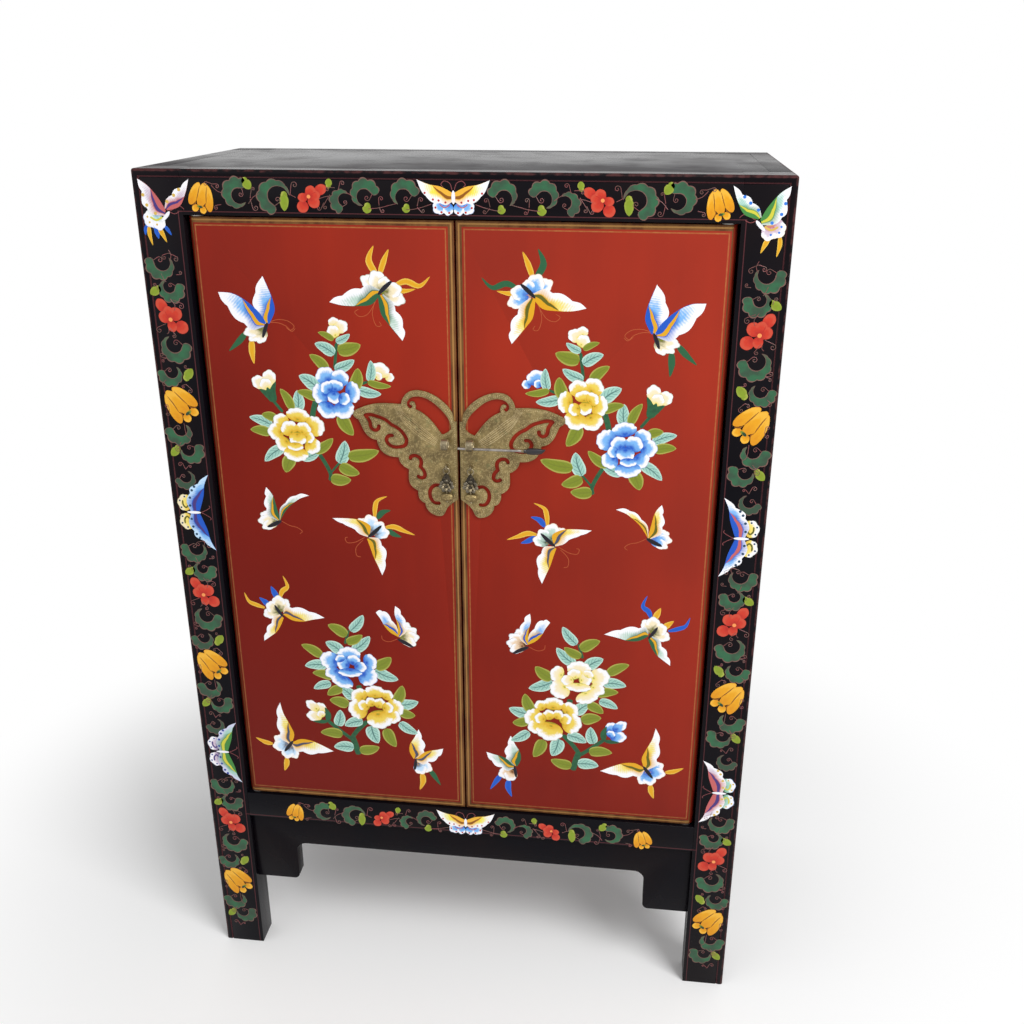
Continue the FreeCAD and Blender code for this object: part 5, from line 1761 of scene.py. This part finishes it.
class PunchedDots(PathTree):
    """Small low domes at even steps along every edge line of a mesh."""

    extra = (("Step", "Float"), ("Seed", "Int"))

    def wire(self, line: Socket, given: Node) -> Socket:
        """Domes of slightly differing size on the resampled curve."""
        even = self.add("ResampleCurve", {"Curve": line, "Length": given.outputs["Step"]},
                        mode="LENGTH")
        dome = self.add("MeshIcoSphere", {"Radius": given.outputs["Radius"], "Subdivisions": 1})
        size = self.add("FunctionNodeRandomValue",
                        {2: 0.75, 3: 1.2, "Seed": given.outputs["Seed"]}, data_type="FLOAT")
        dots = self.add("InstanceOnPoints", {"Points": even.outputs["Curve"],
                                             "Instance": dome.outputs["Mesh"],
                                             "Scale": size.outputs[1]})
        return dots.outputs["Instances"]


def path_mesh(name: str, lines: list[list[Point]], closed: bool = False) -> Mesh:
    """A mesh of bare edges, one chain for each line.

    Args:
        name: the mesh's name.
        lines: places along each line, in metres.
        closed: join each line's end to its start.

    Returns:
        The mesh.
    """
    places, edges = [], []
    for line in lines:
        start = len(places)
        places += line
        edges += [(start + step, start + step + 1) for step in range(len(line) - 1)]
        if closed:
            edges.append((start + len(line) - 1, start))
    return new_mesh(name, places, [], edges=edges)


# ---- solid forms

@dataclass
class Form:
    """Closed forms gathered into one mesh, in millimetres, with a material for each."""

    name: str
    body: str
    slot: str
    materials: list[Material]
    smooth_below: float = 42.0
    points: list = field(default_factory=list)
    faces: list = field(default_factory=list)
    indices: list = field(default_factory=list)

    def loft(self, rings: list[list[Point]], material: int = 0,
             closed: bool = False) -> None:
        """Join rings of points one after another.

        Args:
            rings: rings of equal count.
            material: which material.
            closed: join the last ring to the first instead of capping both.
        """
        count, start = len(rings[0]), len(self.points)
        spans = len(rings) if closed else len(rings) - 1
        faces = []
        for span in range(spans):
            low, high = span * count, (span + 1) % len(rings) * count
            faces += [(low + step, low + (step + 1) % count, high + (step + 1) % count,
                       high + step) for step in range(count)]
        if not closed:
            faces.append(tuple(reversed(range(count))))
            faces.append(tuple(range(spans * count, spans * count + count)))
        self.points += [point for ring in rings for point in ring]
        self.faces += [tuple(start + index for index in face) for face in faces]
        self.indices += [material] * len(faces)

    def turned(self, profile: Line, centre: Vector, axis: Vector, across: Vector,
               segments: int = 20, stretch: Pair = (1.0, 1.0), flutes: int = 0,
               depth: float = 0.0, material: int = 0) -> None:
        """Turn a profile about an axis.

        Args:
            profile: distances along the axis and out from it.
            centre: where the axis starts.
            axis: its unit direction.
            across: unit direction at right angles to it.
            segments: points around.
            stretch: widths along across and along the third direction.
            flutes: grooves around it.
            depth: their depth, as a share of the radius.
            material: which material.
        """
        third = axis.cross(across)
        rings = []
        for along, reach in profile:
            ring = []
            for step, (cos, sin) in enumerate(around(segments)):
                groove = 0.5 + 0.5 * math.cos(2 * math.pi * flutes * step / segments)
                cut = reach * (1 - depth * groove)
                ring.append(centre + axis * along + across * (cos * cut * stretch[0])
                            + third * (sin * cut * stretch[1]))
            rings.append(ring)
        self.loft(rings, material)

    def ring(self, centre: Vector, axis: Vector, across: Vector, radius: float,
             wire: float) -> None:
        """Add a ring of round wire about an axis."""
        third = axis.cross(across)
        ways = [across * cos + third * sin for cos, sin in around(28)]
        self.loft([[centre + way * (radius + wire * cos) + axis * (wire * sin)
                    for cos, sin in around(10)] for way in ways], closed=True)

    def build(self) -> Piece:
        """Make the piece."""
        mesh = new_mesh(self.name, [[v * MM for v in point] for point in self.points],
                        self.faces, self.materials, self.indices)
        return settle(self.name, mesh, self.body, self.smooth_below)


X_AXIS, Y_AXIS, Z_AXIS = Vector((1, 0, 0)), Vector((0, 1, 0)), Vector((0, 0, 1))


def merged_copy(node: Piece, name: str, flatten: float | None = 1.5) -> Mesh:
    """A plain mesh of a CAD node with its points merged and flat faces joined.

    Args:
        node: the CAD node.
        name: the mesh's name.
        flatten: join faces that meet flatter than this many degrees.

    Returns:
        The mesh.
    """
    shape = bmesh.new()
    shape.from_mesh(node.data)
    bmesh.ops.remove_doubles(shape, verts=shape.verts, dist=1e-6)
    if flatten is not None:
        bmesh.ops.dissolve_limit(shape, angle_limit=math.radians(flatten),
                                 verts=shape.verts, edges=shape.edges)
    mesh = bpy.data.meshes.new(name)
    shape.to_mesh(mesh)
    shape.free()
    return mesh


def bevelled(mesh: Mesh, width: float, materials: list[Material]) -> Mesh:
    """Round a mesh's edges where they are sharper than 35 degrees.

    Args:
        mesh: what is rounded.
        width: width of the rounding in millimetres.
        materials: one for the flats and, last, one for the rounded edges.

    Returns:
        The rounded mesh.
    """
    mesh.materials.clear()
    for material in materials:
        mesh.materials.append(material)
    carrier = linked("rounding", mesh)
    modifier = carrier.modifiers.new("round", "BEVEL")
    modifier.width = width * MM
    modifier.segments = 2
    modifier.limit_method = "ANGLE"
    modifier.angle_limit = math.radians(35.0)
    modifier.use_clamp_overlap = True
    modifier.material = len(materials) - 1
    return applied(carrier)


def front_loops(mesh: Mesh, front: float, inset: float) -> list[list[Vector]]:
    """Lines that run inside the front face's edges.

    Args:
        mesh: a flat plate's mesh.
        front: y of its front face.
        inset: distance of the lines from the edges, in millimetres.

    Returns:
        One closed line for each edge loop, in metres.
    """
    shape = bmesh.new()
    shape.from_mesh(mesh)
    flat = {face for face in shape.faces
            if abs(face.calc_center_median().y - front) < 1e-5}
    follow: dict[int, int] = {}
    for face in flat:
        for corner in face.loops:
            if corner.link_loop_radial_next.face not in flat:
                follow[corner.vert.index] = corner.link_loop_next.vert.index
    places = {vertex.index: vertex.co.copy() for vertex in shape.verts}
    shape.free()
    lines = []
    while follow:
        start = min(follow)
        chain = [start]
        here = follow.pop(start)
        while here != start and here in follow:
            chain.append(here)
            here = follow.pop(here)
        if len(chain) < 8:
            continue
        line = []
        count = len(chain)
        for index in range(count):
            ahead = places[chain[(index + 2) % count]]
            behind = places[chain[index - 2]]
            way = ahead - behind
            if way.length < 1e-7:
                continue
            inward = Vector((-way.z, 0, way.x)).normalized()
            line.append(places[chain[index]] + inward * inset * MM)
        lines.append(line)
    return lines


# ---- the cabinet's finishes

AGED_BRASS = Metal("aged_brass", srgb(0x948154), srgb(0x6A5A3A), srgb(0xCAB480),
                   green=0.2, stipple=1.0, relief=1.0, rough=0.4, metallic=0.7)
WORN_BRASS = Metal("worn_brass", srgb(0xCEBC92), srgb(0x9E8A62), srgb(0xE8DAB8),
                   rough=0.34, metallic=0.8)
CAST_BRASS = Metal("cast_brass", srgb(0x968A70), srgb(0x60543E), srgb(0xCEC2A6),
                   rough=0.36)
TARNISHED = Metal("tarnished_brass", srgb(0x706858), srgb(0x3A352E), srgb(0xC4BCA8),
                  rough=0.38, metallic=0.8)
DARK_BRASS = Metal("dark_brass", srgb(0x3E372C), srgb(0x1E1B18), srgb(0x968668),
                   rough=0.42, metallic=0.7)
PALE_STEEL = Metal("pin_steel", srgb(0xB0AAA4), srgb(0x7A7470), srgb(0xE2DED8),
                   rough=0.34)


@dataclass(frozen=True)
class Copy:
    """A CAD node shown by a copy with rounded edges; the rounding takes the last finish."""

    node: str
    materials: tuple[Finish, ...]
    rounding: float
    smooth_below: float = 35.0

    def make(self) -> Piece:
        """Copy the node, round its edges and let it stand for the node."""
        node = frame["nodes"][self.node]
        name = f"{self.node}_shown"
        mesh = bevelled(merged_copy(node, name), self.rounding,
                        [finish.material() for finish in self.materials])
        piece = settle(name, mesh, node["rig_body"], self.smooth_below)
        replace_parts(piece, self.node)
        return piece


@dataclass
class Carcass:
    """Posts, rails, aprons, panels and boards, with the vine and butterflies on the front.

    The stiles' flowers are placed from the middle of a tulip, the rails' from the middle line.
    """

    drawn_half_width: float = 300.0
    drawn_height: float = 906.0
    tulip_heights: tuple[float, ...] = (978.0, 683.0, 388.0, 92.0)
    vine_low: float = 26.0
    vine_high: float = 838.0
    rails: tuple[Point, ...] = ((884.0, 1.0, 0.0), (201.0, 0.86, -36.0))
    rail_start: float = 10.0
    blossom: Pair = (278.0, 84.0)
    tulip: Pair = (279.0, -0.5)
    rail_blossom: Pair = (133.0, -1.0)
    rail_tulip: Pair = (234.0, -3.0)
    upper_body: float = 567.0
    lower_body: float = 271.0
    rail_bodies: Pair = (884.0, 202.0)
    rounding: float = 0.8
    tendril_radius: float = 0.33
    low: Vector = field(default_factory=Vector)
    high: Vector = field(default_factory=Vector)

    def measure(self) -> None:
        """Read the front of the carcass from the CAD nodes."""
        self.low, self.high = Span("front_left_post").low, Span("front_right_post").high
        self.high.z = Span("top_front_rail").high.z

    def lacquer(self) -> BlackLacquer:
        """The black lacquer, told where the cabinet's edges are."""
        return BlackLacquer(
            half_width=self.high.x, depth_front=self.low.y,
            depth_back=Span("rear_left_post").high.y, height=self.high.z,
            post_inner=Span("front_right_post").low.x, rail_low=Span("top_front_rail").low.z,
            rail_base=Span("bottom_front_rail").low.z)

    def dress(self) -> None:
        """Give every CAD node that belongs to the carcass its finish."""
        black = self.lacquer()
        for name, node in sorted(frame["nodes"].items()):
            slot = node.data.materials[0].name
            if slot == "black_lacquer" and node["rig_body"] == "root":
                Copy(name, (black, black), self.rounding).make()
            elif slot == "inner_wood":
                spans = list(Span(name).half)
                axis = spans.index(max(spans))
                along = tuple(0.06 if k == axis else 1.0 for k in range(3))
                wood = StainedWood("xyz"[axis] + "_grain_wood", along)
                node.data.materials[0] = wood.material()

    def layer(self, name: str) -> PaintLayer:
        """A layer on the front of the carcass."""
        return PaintLayer(name, "root", "black_lacquer", 1, self.low.y, (0.0, 0.0),
                          (self.drawn_half_width, self.drawn_height), (0.0, self.low.z),
                          (self.high.x, self.high.z))

    def paint_vine(self) -> None:
        """Paint the scrolling vine with its flowers on the stiles and rails."""
        layer = self.layer("frame_vine")
        for side in (-1, 1):
            layer.side = side
            for base in self.tulip_heights:
                self.stile_part(layer, base)
            for rail in self.rails:
                self.rail_part(layer, *rail)
        layer.build()

    def stile_part(self, layer: PaintLayer, base: float) -> None:
        """Paint one repeat of the vine on a stile, above and below its tulip."""
        def shown(z: float) -> bool:
            """Whether a motif there stays clear of the corner and the foot."""
            return self.vine_low < base + z < self.vine_high

        for scroll in STILE_VINE.scrolls:
            if shown(scroll.z):
                scroll.paint(layer, (0.0, base))
        for bud in STILE_VINE.buds:
            if shown(bud.base[1]):
                bud.paint(layer, (0.0, base))
        for flower, (x, z) in ((BLOSSOM, self.blossom), (TULIP, self.tulip)):
            if shown(z):
                flower.paint(layer, (x, base + z))

    def rail_part(self, layer: PaintLayer, middle_z: float, size: float, slide: float) -> None:
        """Paint half a rail's vine from the middle outwards.

        Args:
            layer: the frame's layer.
            middle_z: height of the rail's middle line.
            size: size of the vine on this rail.
            slide: how far the vine beyond the first leaf lies outwards.
        """
        for scroll in RAIL_VINE.scrolls:
            if scroll.x + slide > self.rail_start:
                smaller = replace(scroll, hollow=scroll.hollow * size, width=scroll.width * size)
                smaller.paint(layer, (slide, middle_z))
        for bud in RAIL_VINE.buds:
            if bud.base[0] + slide > self.rail_start:
                bud.paint(layer, (slide, middle_z))
        x, z = self.rail_blossom
        BLOSSOM.paint(layer, (x + slide, middle_z + z), 0.84 * size, 90)
        x, z = self.rail_tulip
        TULIP.paint(layer, (x + slide, middle_z + z), 0.74 * size, -25, -1)

    def paint_butterflies(self) -> None:
        """Paint the butterflies on the stiles, in the corners and in the rails' middles."""
        layer = self.layer("frame_butterflies")
        for side in (-1, 1):
            layer.side = side
            stile_butterfly(self.upper_body, 42.0).paint(layer, UPPER_STILE[side])
            lower = self.lower_body - 3.0 * side
            stile_butterfly(lower, 40.0).paint(layer, LOWER_STILE[side])
            corner_butterfly(side < 0).paint(layer, CORNER[side])
            for z in self.rail_bodies:
                middle_butterfly(z, side).paint(layer, RAIL_MIDDLE)
        layer.build()

    def draw_tendrils(self) -> None:
        """Lay the thin pink stems and curls of the vine along their lines."""
        lines = []
        for side in (-1, 1):
            for base in self.tulip_heights:
                lines += [self.spots(line, side, 0.0, base) for line in STILE_VINE.tendrils()
                          if self.vine_low < base + line[-1][1] < self.vine_high]
            for middle_z, _, slide in self.rails:
                lines += [self.spots(line, side, slide, middle_z)
                          for line in RAIL_VINE.tendrils()
                          if line[0][0] + slide > self.rail_start]
        mesh = SweptLine("tendril_line").run(
            path_mesh("tendril_paths", lines), Radius=self.tendril_radius * MM,
            Material=TendrilPaint().material())
        settle("frame_tendrils", mesh, "root", 60.0)

    def spots(self, line: Line, side: int, slide: float, base: float) -> list[Point]:
        """Places of a tendril on the carcass front, in metres."""
        wide = side * MM * self.high.x / self.drawn_half_width
        tall = MM * self.high.z / self.drawn_height
        return [(min(x + slide, self.drawn_half_width - 5.0) * wide, self.low.y * MM,
                 (z + base) * tall) for x, z in curve(line, 2 * len(line))]

    def make(self) -> None:
        """Make everything on the carcass."""
        self.measure()
        self.dress()
        self.paint_vine()
        self.paint_butterflies()
        self.draw_tendrils()


@dataclass(frozen=True)
class TendrilPaint(Finish):
    """Dull pink paint."""

    pink: Colour = PINK

    def make(self) -> Material:
        """Build the material."""
        s = Shader("tendril_paint")
        cloud = s.noise(200.0, 2.0)
        colour = s.mix(cloud.ramp(0.35, 0.65) * 0.5, self.pink, SCROLL_DIM)
        return s.finish(Base_Color=colour, Roughness=0.5)


@dataclass
class Door:
    """A red door with its painting, plate half, nails, staple, eye and pull.

    The plate's middle vein is given by places, each with how far it moves for a vein that lies
    1 mm off the middle; vein_offsets says how far off each vein lies.
    """

    hand: str
    side: int
    drawn_low: Pair = (1.0, 221.5)
    drawn_high: Pair = (252.5, 863.5)
    board_rounding: float = 0.9
    staple_rounding: float = 0.35
    nail_rounding: float = 0.3
    eye_rounding: float = 0.02
    plate_rounding: float = 0.55
    dot_radius: float = 0.46
    dot_step: float = 2.1
    dot_inset: float = 2.2
    vein_radius: float = 0.26
    vein: tuple[tuple[float, ...], ...] = (
        (22, 652, -0.3, 0.5), (33, 659.5, 0, 1), (45, 669, 0, 1.1), (54, 677, 0, 0.9),
        (60, 688, -0.5, 0.3))
    vein_offsets: tuple[float, ...] = (-5.0, -3.0, -0.4, 1.6, 4.2, 6.2)

    @property
    def body(self) -> str:
        """The door's body."""
        return f"{self.hand}_door"

    def edges(self) -> tuple[float, ...]:
        """The board's near and far edge, foot, top and face, in millimetres."""
        board = Span(f"{self.hand}_door_board")
        near, far = sorted((abs(board.low.x), abs(board.high.x)))
        return near, far, board.low.z, board.high.z, board.low.y

    def dress(self) -> None:
        """Lacquer the board and give the fittings their metal."""
        red = RedLacquer(*self.edges())
        Copy(f"{self.hand}_door_board", (red, red), self.board_rounding).make()
        pins = frame["nodes"][f"{self.hand}_pivot_pins"]
        pins.data.materials[0] = PALE_STEEL.material()
        for part, finishes, rounding in (
                ("staple", (CAST_BRASS, WORN_BRASS), self.staple_rounding),
                ("plate_nails", (AGED_BRASS, WORN_BRASS), self.nail_rounding),
                ("pull_eye", (CAST_BRASS, CAST_BRASS), self.eye_rounding)):
            Copy(f"{self.hand}_{part}", finishes, rounding).make()

    def layer(self, name: str) -> PaintLayer:
        """A layer on the door's face."""
        near, far, foot, top, face = self.edges()
        return PaintLayer(name, self.body, "red_lacquer", self.side, face, self.drawn_low,
                          self.drawn_high, (near, foot), (far, top), rise_step=0.006)

    def paint(self) -> None:
        """Paint the peonies and the butterflies."""
        peonies = self.layer(f"{self.hand}_door_peonies")
        for group, (coats, shift) in zip((UPPER_PEONIES, LOWER_PEONIES), DOOR_PETALS[self.side]):
            group.paint(peonies, coats, shift)
        peonies.build()
        butterflies = self.layer(f"{self.hand}_door_butterflies")
        for butterfly, colours in zip(DOOR_BUTTERFLIES, DOOR_PLUMAGE[self.side]):
            butterfly.paint(butterflies, colours)
        butterflies.build()

    def plate(self) -> None:
        """Show the plate half with worn edges, punched dots and veins."""
        node = f"{self.hand}_butterfly_plate"
        front = Span(node).low.y * MM
        Copy(node, (AGED_BRASS, WORN_BRASS), self.plate_rounding, 30.0).make()
        loops = front_loops(merged_copy(frame["nodes"][node], "plate_outline", None), front,
                            self.dot_inset)
        dots = PunchedDots("punched_dots").run(
            path_mesh("dot_paths", loops, closed=True),
            Radius=self.dot_radius * MM, Step=self.dot_step * MM, Seed=4,
            Material=WORN_BRASS.material())
        settle(f"{self.hand}_plate_dots", dots, self.body, 60.0)
        lines = []
        for offset in self.vein_offsets:
            line = [(x + offset * dx, z + offset * dz) for x, z, dx, dz in self.vein]
            lines.append([(self.side * x * MM, front, z * MM) for x, z in curve(line, 24)])
        veins = SweptLine("plate_vein").run(
            path_mesh("vein_paths", lines), Radius=self.vein_radius * MM,
            Material=WORN_BRASS.material())
        settle(f"{self.hand}_plate_veins", veins, self.body, 60.0)

    def make(self) -> None:
        """Make everything on the door, and its pull."""
        self.dress()
        self.paint()
        self.plate()
        Pull(self.hand).make()


@dataclass
class Pull:
    """A hanging pull: ring, leaf, flower, stem and a fluted oval bead."""

    hand: str
    drawn_top: float = 628.65
    ring_radius: float = 3.0
    wire: float = 0.7
    leaf_high: float = 622.6
    leaf_low: float = 613.4
    leaf_wide: float = 12.0
    flower_z: float = 609.6
    petals: int = 7
    bead_flutes: int = 8

    def make(self) -> None:
        """Make the casting and its bead where the CAD pull hangs."""
        body = f"{self.hand}_pull"
        span = Span(body)
        x, y, top = span.centre.x, span.centre.y, span.high.z
        drop = top - self.drawn_top
        heart = Vector((x, y, self.flower_z + drop))
        cast = Form(f"{self.hand}_pull_casting", body, "brass",
                    [CAST_BRASS.material(), DARK_BRASS.material(), TARNISHED.material()])
        cast.ring(Vector((x, y, top - self.wire - self.ring_radius)), Y_AXIS, X_AXIS,
                  self.ring_radius, self.wire)
        self.leaf(cast, Vector((x, y, drop)))
        self.flower(cast, heart)
        long = heart.z - span.low.z
        cast.turned([(0, 0.95), (3.0, 0.8), (long - 3.4, 0.75), (long - 0.7, 1.2),
                     (long - 0.2, 1.5), (long, 0.9)], heart, -Z_AXIS, X_AXIS, 12)
        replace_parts(cast.build(), f"{self.hand}_pull")
        self.bead(body)

    def leaf(self, cast: Form, at: Vector) -> None:
        """A dark three-cornered leaf, ridged down its middle."""
        rings = []
        for step in range(7):
            u = step / 6
            z = self.leaf_high + (self.leaf_low - self.leaf_high) * u
            half = self.leaf_wide / 2 * (0.16 + 0.84 * u)
            deep = 0.8 - 0.3 * u
            rings.append([(at.x + half * c, at.y + deep * k, at.z + z)
                          for c, k in ((-1, -0.2), (-0.45, -1.5), (0, -2.4), (0.45, -1.5),
                                       (1, -0.2), (0, 0.9))])
        cast.loft(rings, 1)

    def flower(self, cast: Form, at: Vector) -> None:
        """A cluster of spoon-shaped petals around a round heart."""
        front = -Y_AXIS
        for ring, count, reach, size in ((0, self.petals, 4.6, 4.6), (1, 5, 2.0, 3.6)):
            for step in range(count):
                angle = 2 * math.pi * (step + 0.5 * ring) / count + math.pi / 2
                way = X_AXIS * math.cos(angle) + Z_AXIS * (math.sin(angle) * 0.72)
                base = at + way * (reach - 1.4) + front * (0.2 + 1.1 * ring)
                lean = (way + front * (0.3 + 0.5 * ring)).normalized()
                side = lean.cross(front).normalized()
                cast.turned([(-0.6, 0.6), (0.6, size * 0.36), (2.0, size * 0.5),
                             (3.4, size * 0.48), (4.5, size * 0.3), (5.0, size * 0.1)],
                            base, lean, side, 10, (1.0, 0.42), material=0 if ring else 2)
        cast.turned([(-2.4, 4.6), (0.0, 4.2), (1.6, 2.4), (2.9, 1.9), (3.6, 1.2), (3.9, 0.3)],
                    at, front, X_AXIS, 14, material=1)

    def bead(self, body: str) -> None:
        """A flattened fluted bead on the stem."""
        span = Span(f"{self.hand}_bead")
        turns = [math.pi * (0.04 + 0.92 * step / 12) for step in range(13)]
        profile = [(-span.half.x * math.cos(turn), math.sin(turn) ** 0.85) for turn in turns]
        form = Form(f"{self.hand}_pull_bead", body, "aged_brass", [AGED_BRASS.material()])
        form.turned(profile, span.centre, X_AXIS, Z_AXIS, 40, (span.half.z, span.half.y),
                    self.bead_flutes, 0.09)
        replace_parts(form.build(), f"{self.hand}_bead")


@dataclass
class LockPin:
    """The sliding pin: a steel rod, a ferrule and a dark carved grip.

    The ferrule's outline is given by shares of its length and of its radius. The grip's is
    given by shares of its length, its breadth and its depth, and how far it lifts.
    """

    ferrule_outline: tuple[Pair, ...] = ((0, 0.82), (0.16, 0.98), (0.5, 0.86), (0.84, 0.98),
                                         (1, 0.8))
    grip_outline: tuple[tuple[float, ...], ...] = (
        (0.0, 0.5, 0.5, 0.0), (0.04, 0.72, 0.6, 0.0), (0.1, 0.5, 0.5, 0.0),
        (0.15, 0.86, 0.7, 0.0), (0.3, 1.0, 0.86, 0.0), (0.5, 1.0, 0.84, 0.0),
        (0.68, 0.92, 0.7, 0.08), (0.82, 0.7, 0.5, 0.28), (0.93, 0.4, 0.34, 0.56),
        (1.0, 0.1, 0.14, 0.8))

    def make(self) -> None:
        """Make the pin where the CAD pin lies."""
        Copy("lock_rod", (PALE_STEEL, PALE_STEEL), 0.12).make()
        span = Span("lock_ferrule")
        start = Vector((span.low.x, span.centre.y, span.centre.z))
        ferrule = Form("pin_ferrule", "lock_pin", "brass", [CAST_BRASS.material()])
        ferrule.turned([(2 * span.half.x * along, span.half.y * out)
                        for along, out in self.ferrule_outline], start, X_AXIS, Y_AXIS)
        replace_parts(ferrule.build(), "lock_ferrule")
        span = Span("lock_grip")
        centre, half = span.centre, span.half
        grip = Form("pin_grip", "lock_pin", "dark_grip", [DarkHorn().material()])
        grip.loft([[(span.low.x + 2 * half.x * along, centre.y + half.y * deep * cos,
                     centre.z + half.z * (wide * sin + lift * (1 - wide)))
                    for cos, sin in around(20)] for along, wide, deep, lift in self.grip_outline])
        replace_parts(grip.build(), "lock_grip")


# ---- floor, light and camera

@dataclass
class Studio:
    """A plain pale floor, a big soft light, a fill and the camera."""

    eye: Point = (0.1748, -1.12145, 0.9888)
    aim: Point = (0.0359, 0.0, 0.52802)
    lens: float = 38.07
    ambient: float = 0.5
    floor_reach: float = 6.0
    key_place: Point = (1.5, -1.4, 2.3)
    key_size: float = 1.2
    key_power: float = 52.0
    fill_place: Point = (-1.6, -1.6, 1.4)
    fill_size: float = 2.0
    fill_power: float = 6.0

    def floor(self) -> None:
        """Lay the floor."""
        far = self.floor_reach
        corners = [(-far, -far, 0.0), (far, -far, 0.0), (far, far, 0.0), (-far, far, 0.0)]
        mesh = new_mesh("floor", corners, [(0, 1, 2, 3)], [PaleFloor().material()])
        piece = linked("floor", mesh)

    def aimed(self, name: str, data: bpy.types.ID, place: Point) -> Piece:
        """Put a lamp or the camera at a place, facing the cabinet."""
        piece = linked(name, data, place)
        way = Vector(self.aim) - Vector(place)
        piece.rotation_euler = way.to_track_quat("-Z", "Y").to_euler()
        return piece

    def light(self, name: str, place: Point, size: float, power: float) -> None:
        """Hang one soft square light."""
        lamp = bpy.data.lights.new(name, "AREA")
        lamp.shape = "SQUARE"
        lamp.size, lamp.energy = size, power
        piece = self.aimed(name, lamp, place)

    def background(self) -> None:
        """White where it is seen, a soft grey for light."""
        world = bpy.data.worlds.new("studio")
        world.use_nodes = True
        tree = world.node_tree
        rays = [new_node(tree, "LightPath", output=f"Is {kind} Ray")
                for kind in ("Camera", "Glossy", "Transmission")]
        seen = (rays[0] + rays[1] + rays[2]).least(1.0)
        sky = tree.nodes["Background"]
        sky.inputs["Color"].default_value = (1.0, 1.0, 1.0, 1.0)
        plug(tree, sky.inputs["Strength"], seen * (1.0 - self.ambient) + self.ambient)
        bpy.context.scene.world = world

    def camera(self) -> None:
        """Place the camera."""
        data = bpy.data.cameras.new("camera")
        data.lens = self.lens
        data.clip_start = 0.01
        bpy.context.scene.camera = self.aimed("camera", data, self.eye)

    def make(self) -> None:
        """Set up floor, lights, background and camera."""
        self.floor()
        self.light("key", self.key_place, self.key_size, self.key_power)
        self.light("fill", self.fill_place, self.fill_size, self.fill_power)
        self.background()
        self.camera()
        bpy.context.scene.view_settings.view_transform = "Standard"


def main() -> None:
    """Dress the cabinet, light it and place the camera."""
    logging.basicConfig(level=logging.INFO)
    Carcass().make()
    Door("left", -1).make()
    Door("right", 1).make()
    LockPin().make()
    bushes = frame["nodes"]["pivot_bushes"]
    bushes.data.materials[0] = PALE_STEEL.material()
    Studio().make()


if __name__ == "__main__":
    main()
